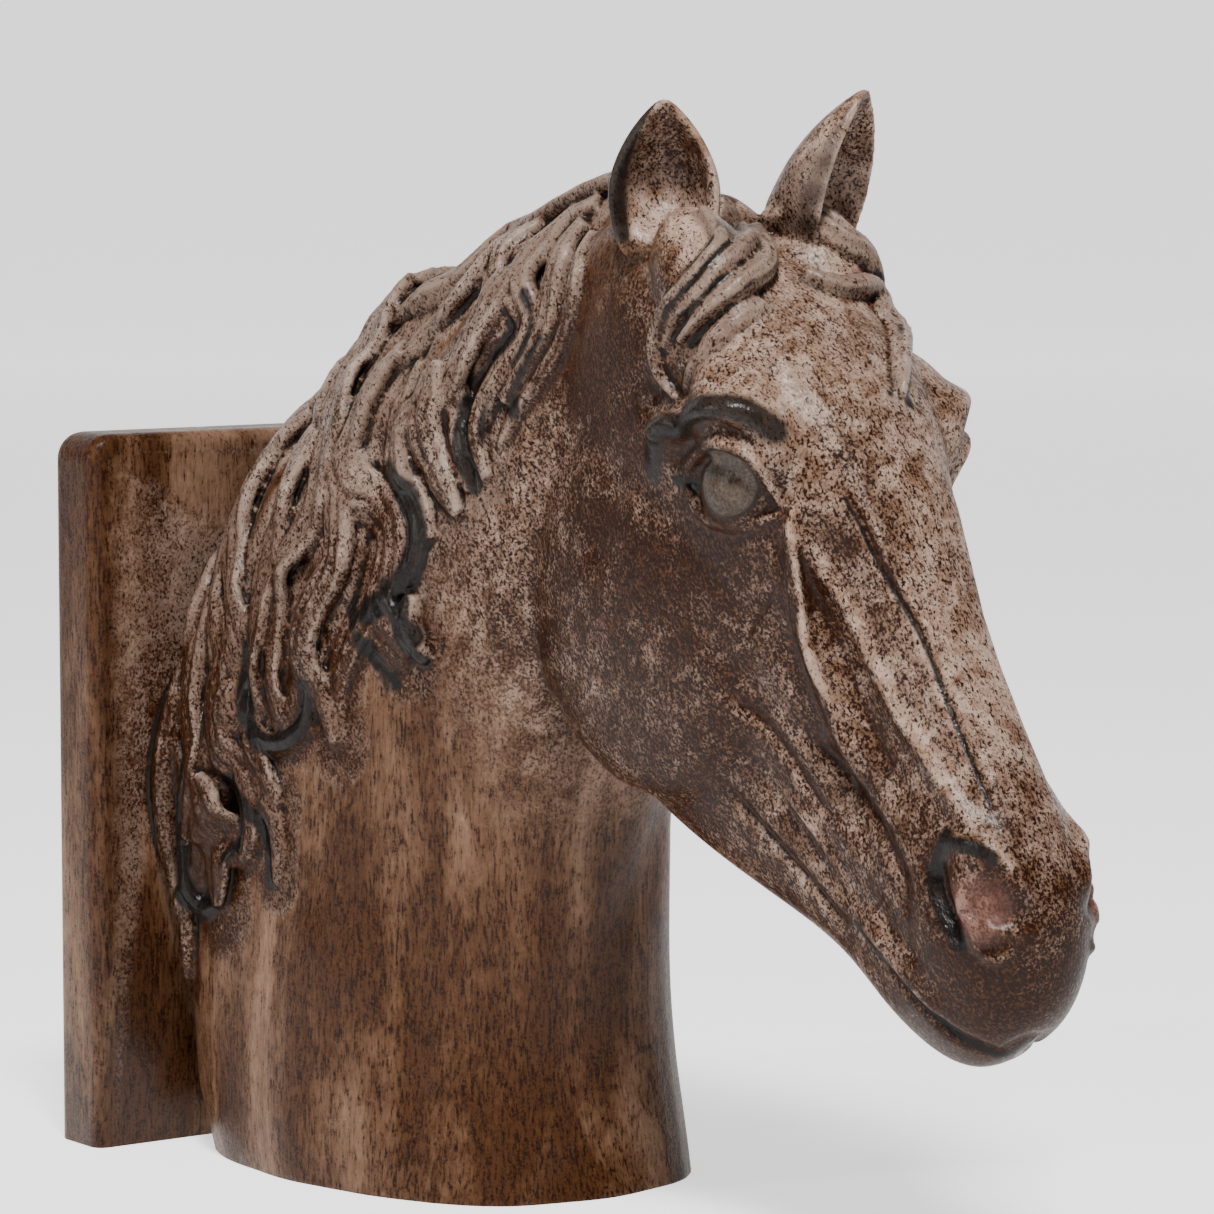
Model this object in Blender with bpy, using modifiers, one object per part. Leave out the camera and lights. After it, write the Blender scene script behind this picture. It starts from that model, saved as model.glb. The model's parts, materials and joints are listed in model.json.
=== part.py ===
"""Horse head bookend: a bust of a horse that grows out of an upright slab, cast in one piece.

The horse looks along +X. The slab's back, which the books lean on, faces -X.
The underside lies at z = 0 and the horse's middle plane is y = 0. Its right side faces -Y.
"""

import math

import bmesh
import bpy
import numpy as np
from mathutils import Matrix, Vector
from mathutils.bvhtree import BVHTree

# The slab
SLAB_WIDTH = 0.104
SLAB_HEIGHT = 0.132
SLAB_THICKNESS = 0.014
SLAB_CORNER_RADIUS = 0.005
SLAB_EDGE_RADIUS = 0.0022
SLAB_BACK_X = -0.059

# The horse
HEAD_LENGTH = 0.150
HEAD_PITCH = math.radians(54)
POLL_HEIGHT = 0.175
POLL_REACH = 0.125
NECK_HALF_WIDTH = 0.037
EAR_LENGTH = 0.028
EAR_WIDTH = 0.0185
EAR_WALL = 0.0024
EYEBALL_RADIUS = 0.0080
LOCK_HEIGHT = 0.0018
LOCK_SPREAD = 1.25
LOCK_TILT = math.radians(15)
LOCK_LAYER = 0.0005

# The casting's skin
MASS_VOXEL = 0.0012
SKIN_VOXEL = 0.0010
TRIANGLES = 9200
GLAZED_RESIN = (0.21, 0.12, 0.08)
GLAZE_ROUGHNESS = 0.3

SLAB_FRONT_X = SLAB_BACK_X + SLAB_THICKNESS
NECK_REACH = POLL_REACH + SLAB_THICKNESS / 2
POLL = Vector((SLAB_FRONT_X + POLL_REACH, 0, POLL_HEIGHT))
RIGHT, LEFT = -1, 1

# The head is measured from the poll in shares of its length: x runs to the lips, z out of the forehead.
# Each station holds x, the top's z, four (y, z) pairs down the side, and the bottom's z.
HEAD_STATIONS = (
    (-0.08, -0.06, (0.06, -0.07), (0.10, -0.12), (0.10, -0.20), (0.07, -0.30), -0.32),
    (0.00, -0.012, (0.07, -0.02), (0.12, -0.08), (0.115, -0.20), (0.08, -0.36), -0.385),
    (0.10, 0.036, (0.09, 0.025), (0.14, -0.04), (0.125, -0.225), (0.095, -0.43), -0.45),
    (0.20, 0.072, (0.105, 0.058), (0.15, -0.01), (0.132, -0.24), (0.105, -0.49), -0.50),
    (0.30, 0.092, (0.10, 0.079), (0.15, 0.01), (0.13, -0.23), (0.105, -0.505), -0.51),
    (0.40, 0.092, (0.080, 0.077), (0.135, -0.03), (0.125, -0.225), (0.10, -0.505), -0.50),
    (0.50, 0.079, (0.060, 0.066), (0.113, -0.05), (0.108, -0.20), (0.092, -0.47), -0.47),
    (0.60, 0.066, (0.048, 0.055), (0.092, -0.05), (0.09, -0.185), (0.080, -0.41), -0.42),
    (0.70, 0.061, (0.044, 0.051), (0.080, -0.04), (0.08, -0.16), (0.068, -0.335), -0.355),
    (0.80, 0.061, (0.048, 0.051), (0.084, -0.02), (0.088, -0.135), (0.068, -0.26), -0.28),
    (0.88, 0.054, (0.056, 0.044), (0.092, -0.02), (0.092, -0.12), (0.068, -0.235), -0.262),
    (0.935, 0.030, (0.050, 0.016), (0.080, -0.035), (0.084, -0.115), (0.060, -0.205), -0.245),
    (0.98, -0.010, (0.036, -0.024), (0.060, -0.058), (0.066, -0.12), (0.045, -0.182), -0.215),
    (1.008, -0.055, (0.018, -0.068), (0.03, -0.085), (0.03, -0.12), (0.018, -0.15), -0.165),
)
# Balls that fill the head out on both sides: place, radii and tilt.
HEAD_MASSES = (
    ((0.325, 0.083, -0.272), (0.245, 0.060, 0.238), 0),
    ((0.282, 0.114, 0.002), (0.092, 0.052, 0.054), -12),
    ((0.110, 0.075, -0.010), (0.110, 0.060, 0.060), 0),
    ((0.870, 0.048, -0.010), (0.065, 0.042, 0.045), 0),
)
# Balls on the middle plane: the poll's tuft, the upper lip and the chin.
MIDDLE_MASSES = (
    ((0.040, 0, -0.032), (0.080, 0.060, 0.030), 0),
    ((0.955, 0, -0.104), (0.043, 0.050, 0.050), 0),
    ((0.905, 0, -0.192), (0.064, 0.055, 0.040), 0),
)
# The neck is measured from the poll too, level and upright: x in shares of the reach to the slab's
# middle, y in half widths, z in shares of the poll's height. Each row runs from crest to throat:
# the crest's (x, z), the throat's (x, z), then half widths at the shares of the way between them.
NECK_SHARES = (0.07, 0.33, 0.68, 0.94)
NECK_ROWS = (
    ((0.03, -0.03), (0.01, -0.23), (0.24, 0.32, 0.34, 0.24)),
    ((-0.10, 0.046), (-0.15, -0.35), (0.24, 0.42, 0.42, 0.30)),
    ((-0.26, 0.030), (-0.24, -0.47), (0.24, 0.52, 0.54, 0.38)),
    ((-0.42, -0.008), (-0.29, -0.62), (0.26, 0.64, 0.70, 0.44)),
    ((-0.60, -0.05), (-0.302, -0.76), (0.30, 0.76, 0.82, 0.48)),
    ((-0.78, -0.13), (-0.296, -0.88), (0.36, 0.90, 0.88, 0.52)),
    ((-1.00, -0.24), (-0.262, -0.98), (0.60, 1.02, 0.95, 0.56)),
    ((-1.00, -0.60), (-0.222, -1.07), (1.08, 1.08, 0.97, 0.58)),
    ((-1.00, -1.20), (-0.190, -1.226), (1.12, 1.12, 1.00, 0.60)),
)

# Modelling on the head: stops (x, degrees round from the forehead), half width and rise.
# The degrees turn about the line z = CORE_Z, towards either side alike.
CORE_Z = -0.15
BROW_STOPS = ((0.25, 86), (0.235, 76), (0.235, 66), (0.255, 56), (0.275, 46), (0.30, 38), (0.33, 32))
HEAD_RELIEF = (
    (BROW_STOPS, 0.018, 0.018),
    (((0.41, 18), (0.48, 15), (0.60, 12), (0.80, 11)), 0.018, 0.006),
    (((0.41, 31), (0.50, 31), (0.62, 33), (0.76, 34)), 0.036, -0.012),
    (((0.40, 34), (0.47, 45), (0.55, 51), (0.63, 56), (0.70, 57)), 0.013, 0.011),
    (((0.45, 58), (0.55, 64), (0.64, 68), (0.74, 64)), 0.028, -0.010),
    (((0.42, 100), (0.52, 100), (0.62, 84), (0.70, 72), (0.78, 74)), 0.022, -0.008),
    (((0.55, 132), (0.66, 128), (0.76, 112), (0.82, 96)), 0.022, -0.009),
    (((0.78, 92), (0.84, 80), (0.90, 62)), 0.014, -0.007),
    (((0.20, 106), (0.25, 130), (0.30, 134)), 0.03, -0.006),
    (((0.17, 80), (0.19, 62), (0.21, 48)), 0.026, -0.012),
    (((0.80, 28), (0.825, 22), (0.85, 18), (0.88, 15), (0.91, 17)), 0.015, 0.012),
    (((0.815, 32), (0.83, 37), (0.85, 39), (0.875, 39), (0.905, 38)), 0.012, -0.017),
    (((0.86, 28), (0.88, 26), (0.905, 25), (0.92, 26)), 0.029, -0.026),
)
# Finer lines, pressed after the skin is whole: the mouth and the folds round the eye.
FINE_RELIEF = (
    (((0.80, 122), (0.87, 103), (0.93, 88), (0.97, 76), (1.00, 48), (1.005, 0)), 0.0085, -0.009),
    (((0.79, 118), (0.86, 98), (0.92, 82), (0.95, 70)), 0.016, 0.006),
    (((0.27, 74), (0.268, 62), (0.285, 50), (0.31, 43), (0.345, 36)), 0.009, -0.006),
    (((0.86, 31), (0.88, 32), (0.90, 31), (0.925, 29)), 0.007, 0.010),
    (((0.90, 33), (0.925, 31), (0.94, 26), (0.935, 20)), 0.007, 0.007),
)
# The eye's middle, then the lids: stops, half width and height.
EYE_PLACE = (0.345, 51)
EYE_BULGE = 0.50
EYELIDS = (
    (
        ((0.297, 70), (0.283, 60), (0.30, 50), (0.318, 45), (0.34, 40), (0.365, 38), (0.395, 37)),
        0.009,
        0.010,
    ),
    (((0.302, 70), (0.33, 70), (0.355, 65), (0.38, 55), (0.395, 44), (0.40, 38)), 0.009, 0.009),
)
# Modelling on the neck: stops (x, z) on the right side, half width and rise in head lengths.
NECK_RELIEF = (
    (((-0.33, -0.50), (-0.31, -0.70), (-0.285, -0.90), (-0.26, -1.10)), 0.040, -0.007),
    (((-0.24, -0.20), (-0.27, -0.32), (-0.31, -0.45)), 0.014, 0.006),
    (((-0.36, -0.55), (-0.42, -0.75), (-0.40, -1.00)), 0.045, -0.010),
    (((-0.50, -0.70), (-0.60, -0.86), (-0.62, -1.05)), 0.060, 0.010),
)

# Locks of the mane on the neck's right side: root (x, z), length, the ways that it runs at equal
# steps, in degrees up from forwards, and the half width in head lengths that shows past its
# neighbours. Each lock spreads a little wider under them.
MANE_LOCKS = (
    ((-0.25, 0.03), 0.26, (-175, -165, -135, -110, -60, -50), 0.026),
    ((-0.22, 0.00), 0.36, (-160, -115, -55, -135, -120, -60), 0.022),
    ((-0.22, -0.02), 0.20, (-120, -80, -90, -125, -130, -120), 0.022),
    ((-0.19, -0.03), 0.26, (-60, -105, -130, -135, -135, -125), 0.014),
    ((-0.08, 0.05), 0.52, (175, -165, -155, -150, -150), 0.028),
    ((-0.40, 0.00), 0.29, (-145, -140, -150, -155, -160, -165), 0.022),
    ((-0.37, -0.02), 0.23, (-140, -125, -140, -145, -145, -135), 0.024),
    ((-0.30, -0.06), 0.24, (-140, -125, -120, -140, -150), 0.024),
    ((-0.57, -0.08), 0.24, (-165, -130, -95, -75, -70), 0.036),
    ((-0.74, -0.14), 0.16, (-150, -80, -45, -45, -40, -35), 0.018),
    ((-0.64, -0.14), 0.16, (-150, -130, -100, -80, -75, -65), 0.024),
    ((-0.53, -0.15), 0.28, (-140, -120, -115, -40, -15, -20), 0.030),
    ((-0.48, -0.16), 0.33, (-120, -100, -30, -45, -110, -160), 0.022),
    ((-0.45, -0.17), 0.21, (-95, -140, -80, -45, -35, -50), 0.020),
    ((-0.42, -0.16), 0.18, (-95, -100, -70, -45, -40, -40), 0.022),
    ((-0.38, -0.16), 0.14, (-105, -100, -75, -55, -45, -55), 0.018),
    ((-0.50, -0.39), 0.10, (-55, -50, -40, -35, -35, -30), 0.032),
    ((-0.42, -0.39), 0.08, (-100, -100, -65, -50, -45, -35), 0.016),
    ((-0.86, -0.19), 0.38, (-110, -105, -90, -55, -45, -65), 0.026),
    ((-0.76, -0.20), 0.38, (-145, -130, -85, -55, -45, -75), 0.030),
    ((-0.70, -0.24), 0.30, (-110, -95, -85, -80, -90), 0.034),
    ((-0.66, -0.20), 0.36, (-105, -70, -125, -100, -75, -55), 0.040),
    ((-0.73, -0.46), 0.24, (-95, -70, -25, 5, 30, 75), 0.012),
    ((-0.61, -0.27), 0.32, (-55, -70, -125, -105, -55, -55), 0.022),
    ((-0.58, -0.26), 0.37, (-40, -30, -95, -140, -115, -75), 0.030),
    ((-0.92, -0.38), 0.28, (-90, -95, -100, -85, -70, -70), 0.032),
    ((-0.89, -0.41), 0.27, (-90, -80, -75, -60, -80, -110), 0.024),
    ((-0.84, -0.42), 0.36, (-50, -85, -60, -30, -30, -80), 0.024),
    ((-0.73, -0.48), 0.19, (-125, -95, -50, -40, -35, -35), 0.026),
    ((-0.82, -0.60), 0.14, (-60, -70, -80, -85), 0.040),
    ((-0.88, -0.58), 0.22, (-90, -90, -85, -70, -30, 15), 0.015),
    ((-0.76, -0.58), 0.14, (-40, -50, -70, -110, -150), 0.018),
    ((-0.88, -0.72), 0.10, (-95, -85, -75), 0.020),
)
# Low swells that the locks lie on: stops (x, z) on the right side, half width and height.
MANE_BED = (
    (((-0.28, -0.07), (-0.38, -0.10), (-0.45, -0.18), (-0.46, -0.28)), 0.075, 0.021),
    (((-0.52, -0.10), (-0.66, -0.22), (-0.64, -0.36), (-0.66, -0.54)), 0.115, 0.025),
    (((-0.84, -0.22), (-0.86, -0.40), (-0.84, -0.56), (-0.88, -0.74)), 0.095, 0.025),
)
# The left side has every other lock again, combed shorter.
LEFT_LOCK_SHARE = 0.72
# Rolls of hair on the crest and beside the slab: the way each stands out, stops (x, y, z) in the
# neck's shares, half width and height.
ROLLS = (
    (
        (-0.5, 0.2, 0.84),
        ((-0.55, 0.12, -0.12), (-0.69, 0.16, -0.10), (-0.83, 0.20, -0.125), (-0.94, 0.22, -0.19)),
        0.036,
        0.030,
    ),
    (
        (-0.5, 0.2, 0.84),
        ((-0.53, 0.16, -0.15), (-0.67, 0.20, -0.15), (-0.81, 0.24, -0.18), (-0.92, 0.26, -0.24)),
        0.062,
        0.040,
    ),
    (
        (0.7, -0.7, 0),
        ((-0.92, -0.90, -0.47), (-0.93, -1.02, -0.58), (-0.93, -1.03, -0.66), (-0.92, -0.96, -0.76)),
        0.016,
        0.016,
    ),
)
# Locks of the forelock, from root to tip: stops (x, degrees round), half width and height.
FORELOCKS = (
    (
        ((0.03, 24), (0.08, 24), (0.10, 29), (0.12, 38), (0.125, 46), (0.14, 55), (0.17, 60), (0.21, 58)),
        0.013,
        0.017,
    ),
    (((0.03, 2), (0.06, 9), (0.10, 21), (0.12, 29), (0.135, 36), (0.14, 45), (0.155, 53)), 0.012, 0.015),
    (((0.04, -2), (0.075, 4), (0.095, 9), (0.12, 15), (0.14, 24), (0.15, 31), (0.165, 46)), 0.017, 0.022),
    (((0.16, 18), (0.17, 24), (0.18, 31), (0.19, 38), (0.20, 46), (0.205, 53)), 0.014, 0.009),
    (((0.02, -10), (0.045, -18), (0.085, -22), (0.105, -29), (0.135, -34)), 0.022, 0.022),
    (((0.125, -4), (0.145, -12), (0.145, -20), (0.14, -28), (0.15, -34)), 0.015, 0.017),
    (
        ((0.14, -34), (0.17, -30), (0.20, -29), (0.22, -25), (0.25, -18), (0.29, -11), (0.315, -8)),
        0.016,
        0.020,
    ),
)

# Each ear: its side, its root and the way to its tip, level and in head lengths from the poll,
# the way that its hollow faces, and its size in ear lengths.
EARS = (
    (RIGHT, (-0.014, -0.088, -0.066), (0.08, -0.065, 1.0), (0.75, -0.65, 0), 1.0),
    (LEFT, (0.040, 0.088, -0.060), (0.30, 0.12, 1.0), (0.88, 0.48, 0), 1.07),
)
# Shares of the ear's length, of its half width there, how far its hollow cuts in and its depth.
EAR_STATIONS = (
    (0.00, 0.72, 0.00, 1.50),
    (0.16, 0.90, 0.15, 1.35),
    (0.30, 1.02, 0.75, 1.10),
    (0.48, 1.05, 1.00, 0.95),
    (0.64, 0.90, 1.00, 0.90),
    (0.80, 0.64, 0.95, 0.85),
    (0.92, 0.34, 0.80, 0.80),
    (1.00, 0.08, 0.00, 0.80),
)


def remove_everything():
    for old in list(bpy.data.objects):
        bpy.data.objects.remove(old)


def collection(name):
    made = bpy.data.collections.new(name)
    bpy.context.scene.collection.children.link(made)
    return made


def head_frame():
    """The matrix from shares of the head's length to the world."""
    turned = Matrix.Rotation(HEAD_PITCH, 4, "Y")
    return Matrix.Translation(POLL) @ turned @ Matrix.Scale(HEAD_LENGTH, 4)


def neck_frame():
    shares = Matrix.Diagonal((NECK_REACH, NECK_HALF_WIDTH, POLL_HEIGHT, 1))
    return Matrix.Translation(POLL) @ shares


def object_from(mesh, name, group=None):
    made = bpy.data.objects.new(name, mesh)
    (group or bpy.context.scene.collection).objects.link(made)
    return made


def baked(obj):
    """The object with its modifiers applied, as a new mesh in world space. The object is removed."""
    graph = bpy.context.evaluated_depsgraph_get()
    mesh = bpy.data.meshes.new_from_object(obj.evaluated_get(graph))
    mesh.transform(obj.matrix_world)
    bpy.data.objects.remove(obj)
    return mesh


def loft(name, rings, levels):
    """A closed form through rings that hold the same number of points, softened by subdivision."""
    mesh = bmesh.new()
    rows = [[mesh.verts.new(point) for point in ring] for ring in rings]
    for before, after in zip(rows, rows[1:]):
        for k in range(len(before)):
            beside = (k + 1) % len(before)
            mesh.faces.new((before[k], before[beside], after[beside], after[k]))
    mesh.faces.new(rows[0][::-1])
    mesh.faces.new(rows[-1])
    bmesh.ops.recalc_face_normals(mesh, faces=mesh.faces)
    data = bpy.data.meshes.new(name)
    mesh.to_mesh(data)
    mesh.free()
    if not levels:
        return data
    made = object_from(data, name)
    soft = made.modifiers.new("Soft", "SUBSURF")
    soft.levels = levels
    soft.render_levels = levels
    return baked(made)


def mirrored_ring(middle_top, side, middle_bottom):
    """A ring through points of the right and the left side, between its top and bottom points."""
    right = [Vector((x, -y, z)) for x, y, z in side]
    left = [Vector((x, y, z)) for x, y, z in reversed(side)]
    return [Vector(middle_top)] + right + [Vector(middle_bottom)] + left


def head_core():
    frame = head_frame()
    rings = []
    for x, top, edge, brow, cheek, jaw, bottom in HEAD_STATIONS:
        side = [(x, y, z) for y, z in (edge, brow, cheek, jaw)]
        ring = mirrored_ring((x, 0, top), side, (x, 0, bottom))
        rings.append([frame @ point for point in ring])
    return loft("head core", rings, 2)


def neck_core():
    frame = neck_frame()
    rings = []
    for crest, throat, widths in NECK_ROWS:
        start = Vector((crest[0], 0, crest[1]))
        end = Vector((throat[0], 0, throat[1]))
        side = []
        for share, width in zip(NECK_SHARES, widths):
            between = start.lerp(end, share)
            side.append((between.x, width, between.z))
        rings.append([frame @ point for point in mirrored_ring(start, side, end)])
    return loft("neck core", rings, 2)


def ball(name, place, radii, tilt):
    """An ellipsoid at a place of the head, with its radii along the head's axes."""
    mesh = bmesh.new()
    turned = Matrix.Rotation(math.radians(tilt), 4, "Y")
    shape = Matrix.Translation(place) @ turned @ Matrix.Diagonal((*radii, 1))
    bmesh.ops.create_uvsphere(
        mesh, u_segments=32, v_segments=20, radius=1, matrix=head_frame() @ shape
    )
    data = bpy.data.meshes.new(name)
    mesh.to_mesh(data)
    mesh.free()
    return data


def masses():
    """The closed forms that the head and the neck are built up from."""
    made = [head_core(), neck_core()]
    for place, radii, tilt in HEAD_MASSES:
        for side in (RIGHT, LEFT):
            there = (place[0], side * place[1], place[2])
            made.append(ball("side mass", there, radii, tilt))
    for place, radii, tilt in MIDDLE_MASSES:
        made.append(ball("middle mass", place, radii, tilt))
    return made


def melted(name, meshes, voxel, smoothing):
    """Closed meshes melted into one skin, then smoothed."""
    joined = bmesh.new()
    for mesh in meshes:
        joined.from_mesh(mesh)
    data = bpy.data.meshes.new(name)
    joined.to_mesh(data)
    joined.free()
    made = object_from(data, name)
    melt = made.modifiers.new("Melt", "REMESH")
    melt.mode = "VOXEL"
    melt.voxel_size = voxel
    smooth = made.modifiers.new("Smooth", "SMOOTH")
    smooth.factor = 0.5
    smooth.iterations = smoothing
    return baked(made)


def skin_of(mesh):
    """A tree to cast rays on."""
    reader = bmesh.new()
    reader.from_mesh(mesh)
    tree = BVHTree.FromBMesh(reader)
    reader.free()
    return tree


def curve_through(stops, count):
    """Places on a smooth curve through the stops."""
    stops = [Vector(stop) for stop in stops]
    ends = [stops[0] * 2 - stops[1], *stops, stops[-1] * 2 - stops[-2]]
    places = []
    for k in range(count):
        along = k / (count - 1) * (len(stops) - 1)
        first = min(int(along), len(stops) - 2)
        t = along - first
        a, b, c, d = ends[first : first + 4]
        bend = (c - a) * t + (a * 2 - b * 5 + c * 4 - d) * t**2 + (b * 3 - a - c * 3 + d) * t**3
        places.append(b + bend / 2)
    return places


def falling(root, length, ways, count):
    """Places on a lock that leaves its root and turns as it goes: one way for each equal step."""
    stops = [Vector(root)]
    for way in ways:
        angle = math.radians(way)
        step = Vector((math.cos(angle), math.sin(angle))) * length / len(ways)
        stops.append(stops[-1] + step)
    return curve_through(stops, count)


def on_head(skin, x, turn, side):
    """The skin's place and normal round the head from the forehead, towards the side given."""
    angle = math.radians(turn)
    outward = Vector((0, side * math.sin(angle), math.cos(angle)))
    core = head_frame() @ Vector((x, 0, CORE_Z))
    start = head_frame() @ (Vector((x, 0, CORE_Z)) + outward)
    place, normal, _, _ = skin.ray_cast(start, core - start)
    if place is None:
        place, normal, _, _ = skin.find_nearest(core)
    return place, normal


def on_neck(skin, x, z, side):
    """The skin's place and normal where a level line from the side given meets the neck."""
    start = neck_frame() @ Vector((x, side * 3, z))
    place, normal, _, _ = skin.ray_cast(start, Vector((0, -side, 0)))
    if place is None:
        place, normal, _, _ = skin.find_nearest(neck_frame() @ Vector((x, side * 0.1, z)))
    return place, normal


def evened(path):
    """A draped path with its jumps smoothed out, as places and unit normals."""
    places = [place for place, _ in path]
    normals = [normal for _, normal in path]
    for _ in range(6):
        for row in (places, normals):
            middle = [(a + b * 2 + c) / 4 for a, b, c in zip(row, row[1:], row[2:])]
            row[1:-1] = middle
    return [(place, normal.normalized()) for place, normal in zip(places, normals)]


def draped_on_head(skin, stops, side, count=40):
    return evened([on_head(skin, x, turn, side) for x, turn in curve_through(stops, count)])


def draped_on_neck(skin, stops, side, count=80):
    return evened([on_neck(skin, x, z, side) for x, z in curve_through(stops, count)])


def modelled(mesh, strokes):
    """Raises the skin along each path, or sinks it where the rise is negative."""
    count = len(mesh.vertices)
    points = np.empty(count * 3, np.float32)
    mesh.vertices.foreach_get("co", points)
    points = points.reshape(-1, 3)
    normals = np.empty(count * 3, np.float32)
    mesh.vertices.foreach_get("normal", normals)
    normals = normals.reshape(-1, 3)
    shift = np.zeros_like(points)
    for path, half_width, rise in strokes:
        track = np.array([place for place, _ in path])
        reach = 2.5 * half_width
        inside = (points > track.min(0) - reach) & (points < track.max(0) + reach)
        near = np.flatnonzero(inside.all(axis=1))
        gap = np.full(len(near), reach)
        share = np.zeros(len(near))
        for k, place in enumerate(track):
            distance = np.linalg.norm(points[near] - place, axis=1)
            closer = distance < gap
            gap[closer] = distance[closer]
            share[closer] = k / (len(track) - 1)
        fade = np.minimum(1, 4 * np.minimum(share, 1 - share) + 0.15)
        lift = rise * fade * np.exp(-((gap / half_width) ** 2))
        shift[near] += normals[near] * lift[:, None]
    mesh.vertices.foreach_set("co", (points + shift).ravel())
    mesh.update()
    return mesh


def head_strokes(skin, relief):
    made = []
    for stops, half_width, rise in relief:
        for side in (RIGHT, LEFT):
            path = draped_on_head(skin, stops, side)
            made.append((path, half_width * HEAD_LENGTH, rise * HEAD_LENGTH))
    return made


def neck_strokes(skin):
    made = []
    for stops, half_width, rise in NECK_RELIEF:
        for side in (RIGHT, LEFT):
            path = draped_on_neck(skin, stops, side)
            made.append((path, half_width * HEAD_LENGTH, rise * HEAD_LENGTH))
    return made


def ribbon(name, path, half_width, height, tilt=0, sides=12):
    """A flat-topped band along a draped path, drawn out to its tip. The tilt lifts one of its edges."""
    rings = []
    last = len(path) - 1
    for k, (place, normal) in enumerate(path):
        before, after = path[max(k - 1, 0)][0], path[min(k + 1, last)][0]
        ahead = (after - before).normalized()
        across = ahead.cross(normal).normalized()
        out = across.cross(ahead).normalized()
        across, out = (
            across * math.cos(tilt) - out * math.sin(tilt),
            out * math.cos(tilt) + across * math.sin(tilt),
        )
        share = k / last
        taper = min(1, 0.5 + 2.5 * share) * (1 - 0.75 * share**4)
        ring = []
        for j in range(sides):
            angle = 2 * math.pi * j / sides
            aside = across * math.cos(angle) * half_width * taper
            bulge = math.copysign(abs(math.sin(angle)) ** 0.7, math.sin(angle))
            up = out * bulge * height * (0.35 + 0.65 * taper)
            ring.append(place + aside + up)
        rings.append(ring)
    return loft(name, rings, 0)


def mane_bed(skin):
    made = []
    for stops, half_width, height in MANE_BED:
        for side in (RIGHT, LEFT):
            path = draped_on_neck(skin, stops, side, 24)
            made.append(ribbon("bed", path, half_width * HEAD_LENGTH, height * HEAD_LENGTH))
    return made


def mane_paths(skin):
    """Each lock's draped path and half width: the right side's, then the left side's."""
    made = []
    for root, length, ways, half_width in MANE_LOCKS:
        line = falling(root, length, ways, 32)
        path = evened([on_neck(skin, x, z, RIGHT) for x, z in line])
        made.append((path, half_width * LOCK_SPREAD * HEAD_LENGTH))
    for root, length, ways, half_width in MANE_LOCKS[::2]:
        line = falling(root, length * LEFT_LOCK_SHARE, ways, 32)
        path = evened([on_neck(skin, x, z, LEFT) for x, z in line])
        made.append((path, half_width * LOCK_SPREAD * HEAD_LENGTH))
    return made


def rolls():
    """Each roll's path and half width."""
    made = []
    for outward, stops, half_width, _ in ROLLS:
        path = [(neck_frame() @ stop, Vector(outward)) for stop in curve_through(stops, 24)]
        made.append((path, half_width * HEAD_LENGTH))
    return made


def mane(skin):
    """Every third lock lies lowest, the next two each a layer higher."""
    made = []
    for number, (path, half_width) in enumerate(mane_paths(skin)):
        tilt = LOCK_TILT if number < len(MANE_LOCKS) else -LOCK_TILT
        lift = LOCK_LAYER * (number % 3)
        raised = [(place + normal * lift, normal) for place, normal in path]
        made.append(ribbon("lock", raised, half_width, LOCK_HEIGHT, tilt))
    for (path, half_width), row in zip(rolls(), ROLLS):
        made.append(ribbon("roll", path, half_width, row[3] * HEAD_LENGTH))
    return made


def forelock_paths(skin):
    """Each forelock's draped path, half width and height."""
    made = []
    for stops, half_width, height in FORELOCKS:
        path = draped_on_head(skin, stops, RIGHT)
        made.append((path, half_width * HEAD_LENGTH, height * HEAD_LENGTH))
    return made


def forelock(skin):
    return [ribbon("forelock", *row) for row in forelock_paths(skin)]


def eyes(skin):
    """The eyeballs and their lids."""
    made = []
    for side in (RIGHT, LEFT):
        place, normal = on_head(skin, *EYE_PLACE, side)
        middle = place - normal * EYEBALL_RADIUS * (1 - EYE_BULGE)
        mesh = bmesh.new()
        bmesh.ops.create_uvsphere(
            mesh,
            u_segments=32,
            v_segments=20,
            radius=EYEBALL_RADIUS,
            matrix=Matrix.Translation(middle),
        )
        data = bpy.data.meshes.new("eyeball")
        mesh.to_mesh(data)
        mesh.free()
        made.append(data)
        for stops, half_width, height in EYELIDS:
            path = draped_on_head(skin, stops, side, 24)
            made.append(ribbon("eyelid", path, half_width * HEAD_LENGTH, height * HEAD_LENGTH))
    return made


def ear(side, root, way, facing, size):
    """A cupped leaf: rings of a thick rim that is closed behind and open in front."""
    place = POLL + Vector(root) * HEAD_LENGTH
    upward = Vector(way).normalized()
    opening = Vector(facing)
    opening = (opening - upward * opening.dot(upward)).normalized()
    across = upward.cross(opening)
    rings = []
    for share, width, hollow, depth in EAR_STATIONS:
        middle = place + upward * EAR_LENGTH * size * share
        outer = EAR_WIDTH / 2 * size * width
        inner = max(outer - EAR_WALL, outer * 0.2)
        ring = []
        for k in range(13):
            angle = math.radians(-105 + 210 * k / 12)
            back = -opening * math.cos(angle) * outer * depth
            ring.append(middle + across * math.sin(angle) * outer + back)
        for k in range(11):
            angle = math.radians(88 - 176 * k / 10)
            back = -opening * math.cos(angle) * (outer * depth - EAR_WALL)
            front = opening * outer * 0.35 * math.cos(angle)
            ring.append(middle + across * math.sin(angle) * inner + front.lerp(back, hollow))
        rings.append(ring)
    return loft("ear", rings, 1)


def slimmed(mesh, triangles):
    """The mesh with about so many triangles."""
    made = object_from(mesh, "slimmed")
    slim = made.modifiers.new("Slim", "DECIMATE")
    slim.ratio = triangles / (2 * len(mesh.polygons))
    slim.use_collapse_triangulate = True
    return baked(made)


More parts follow.
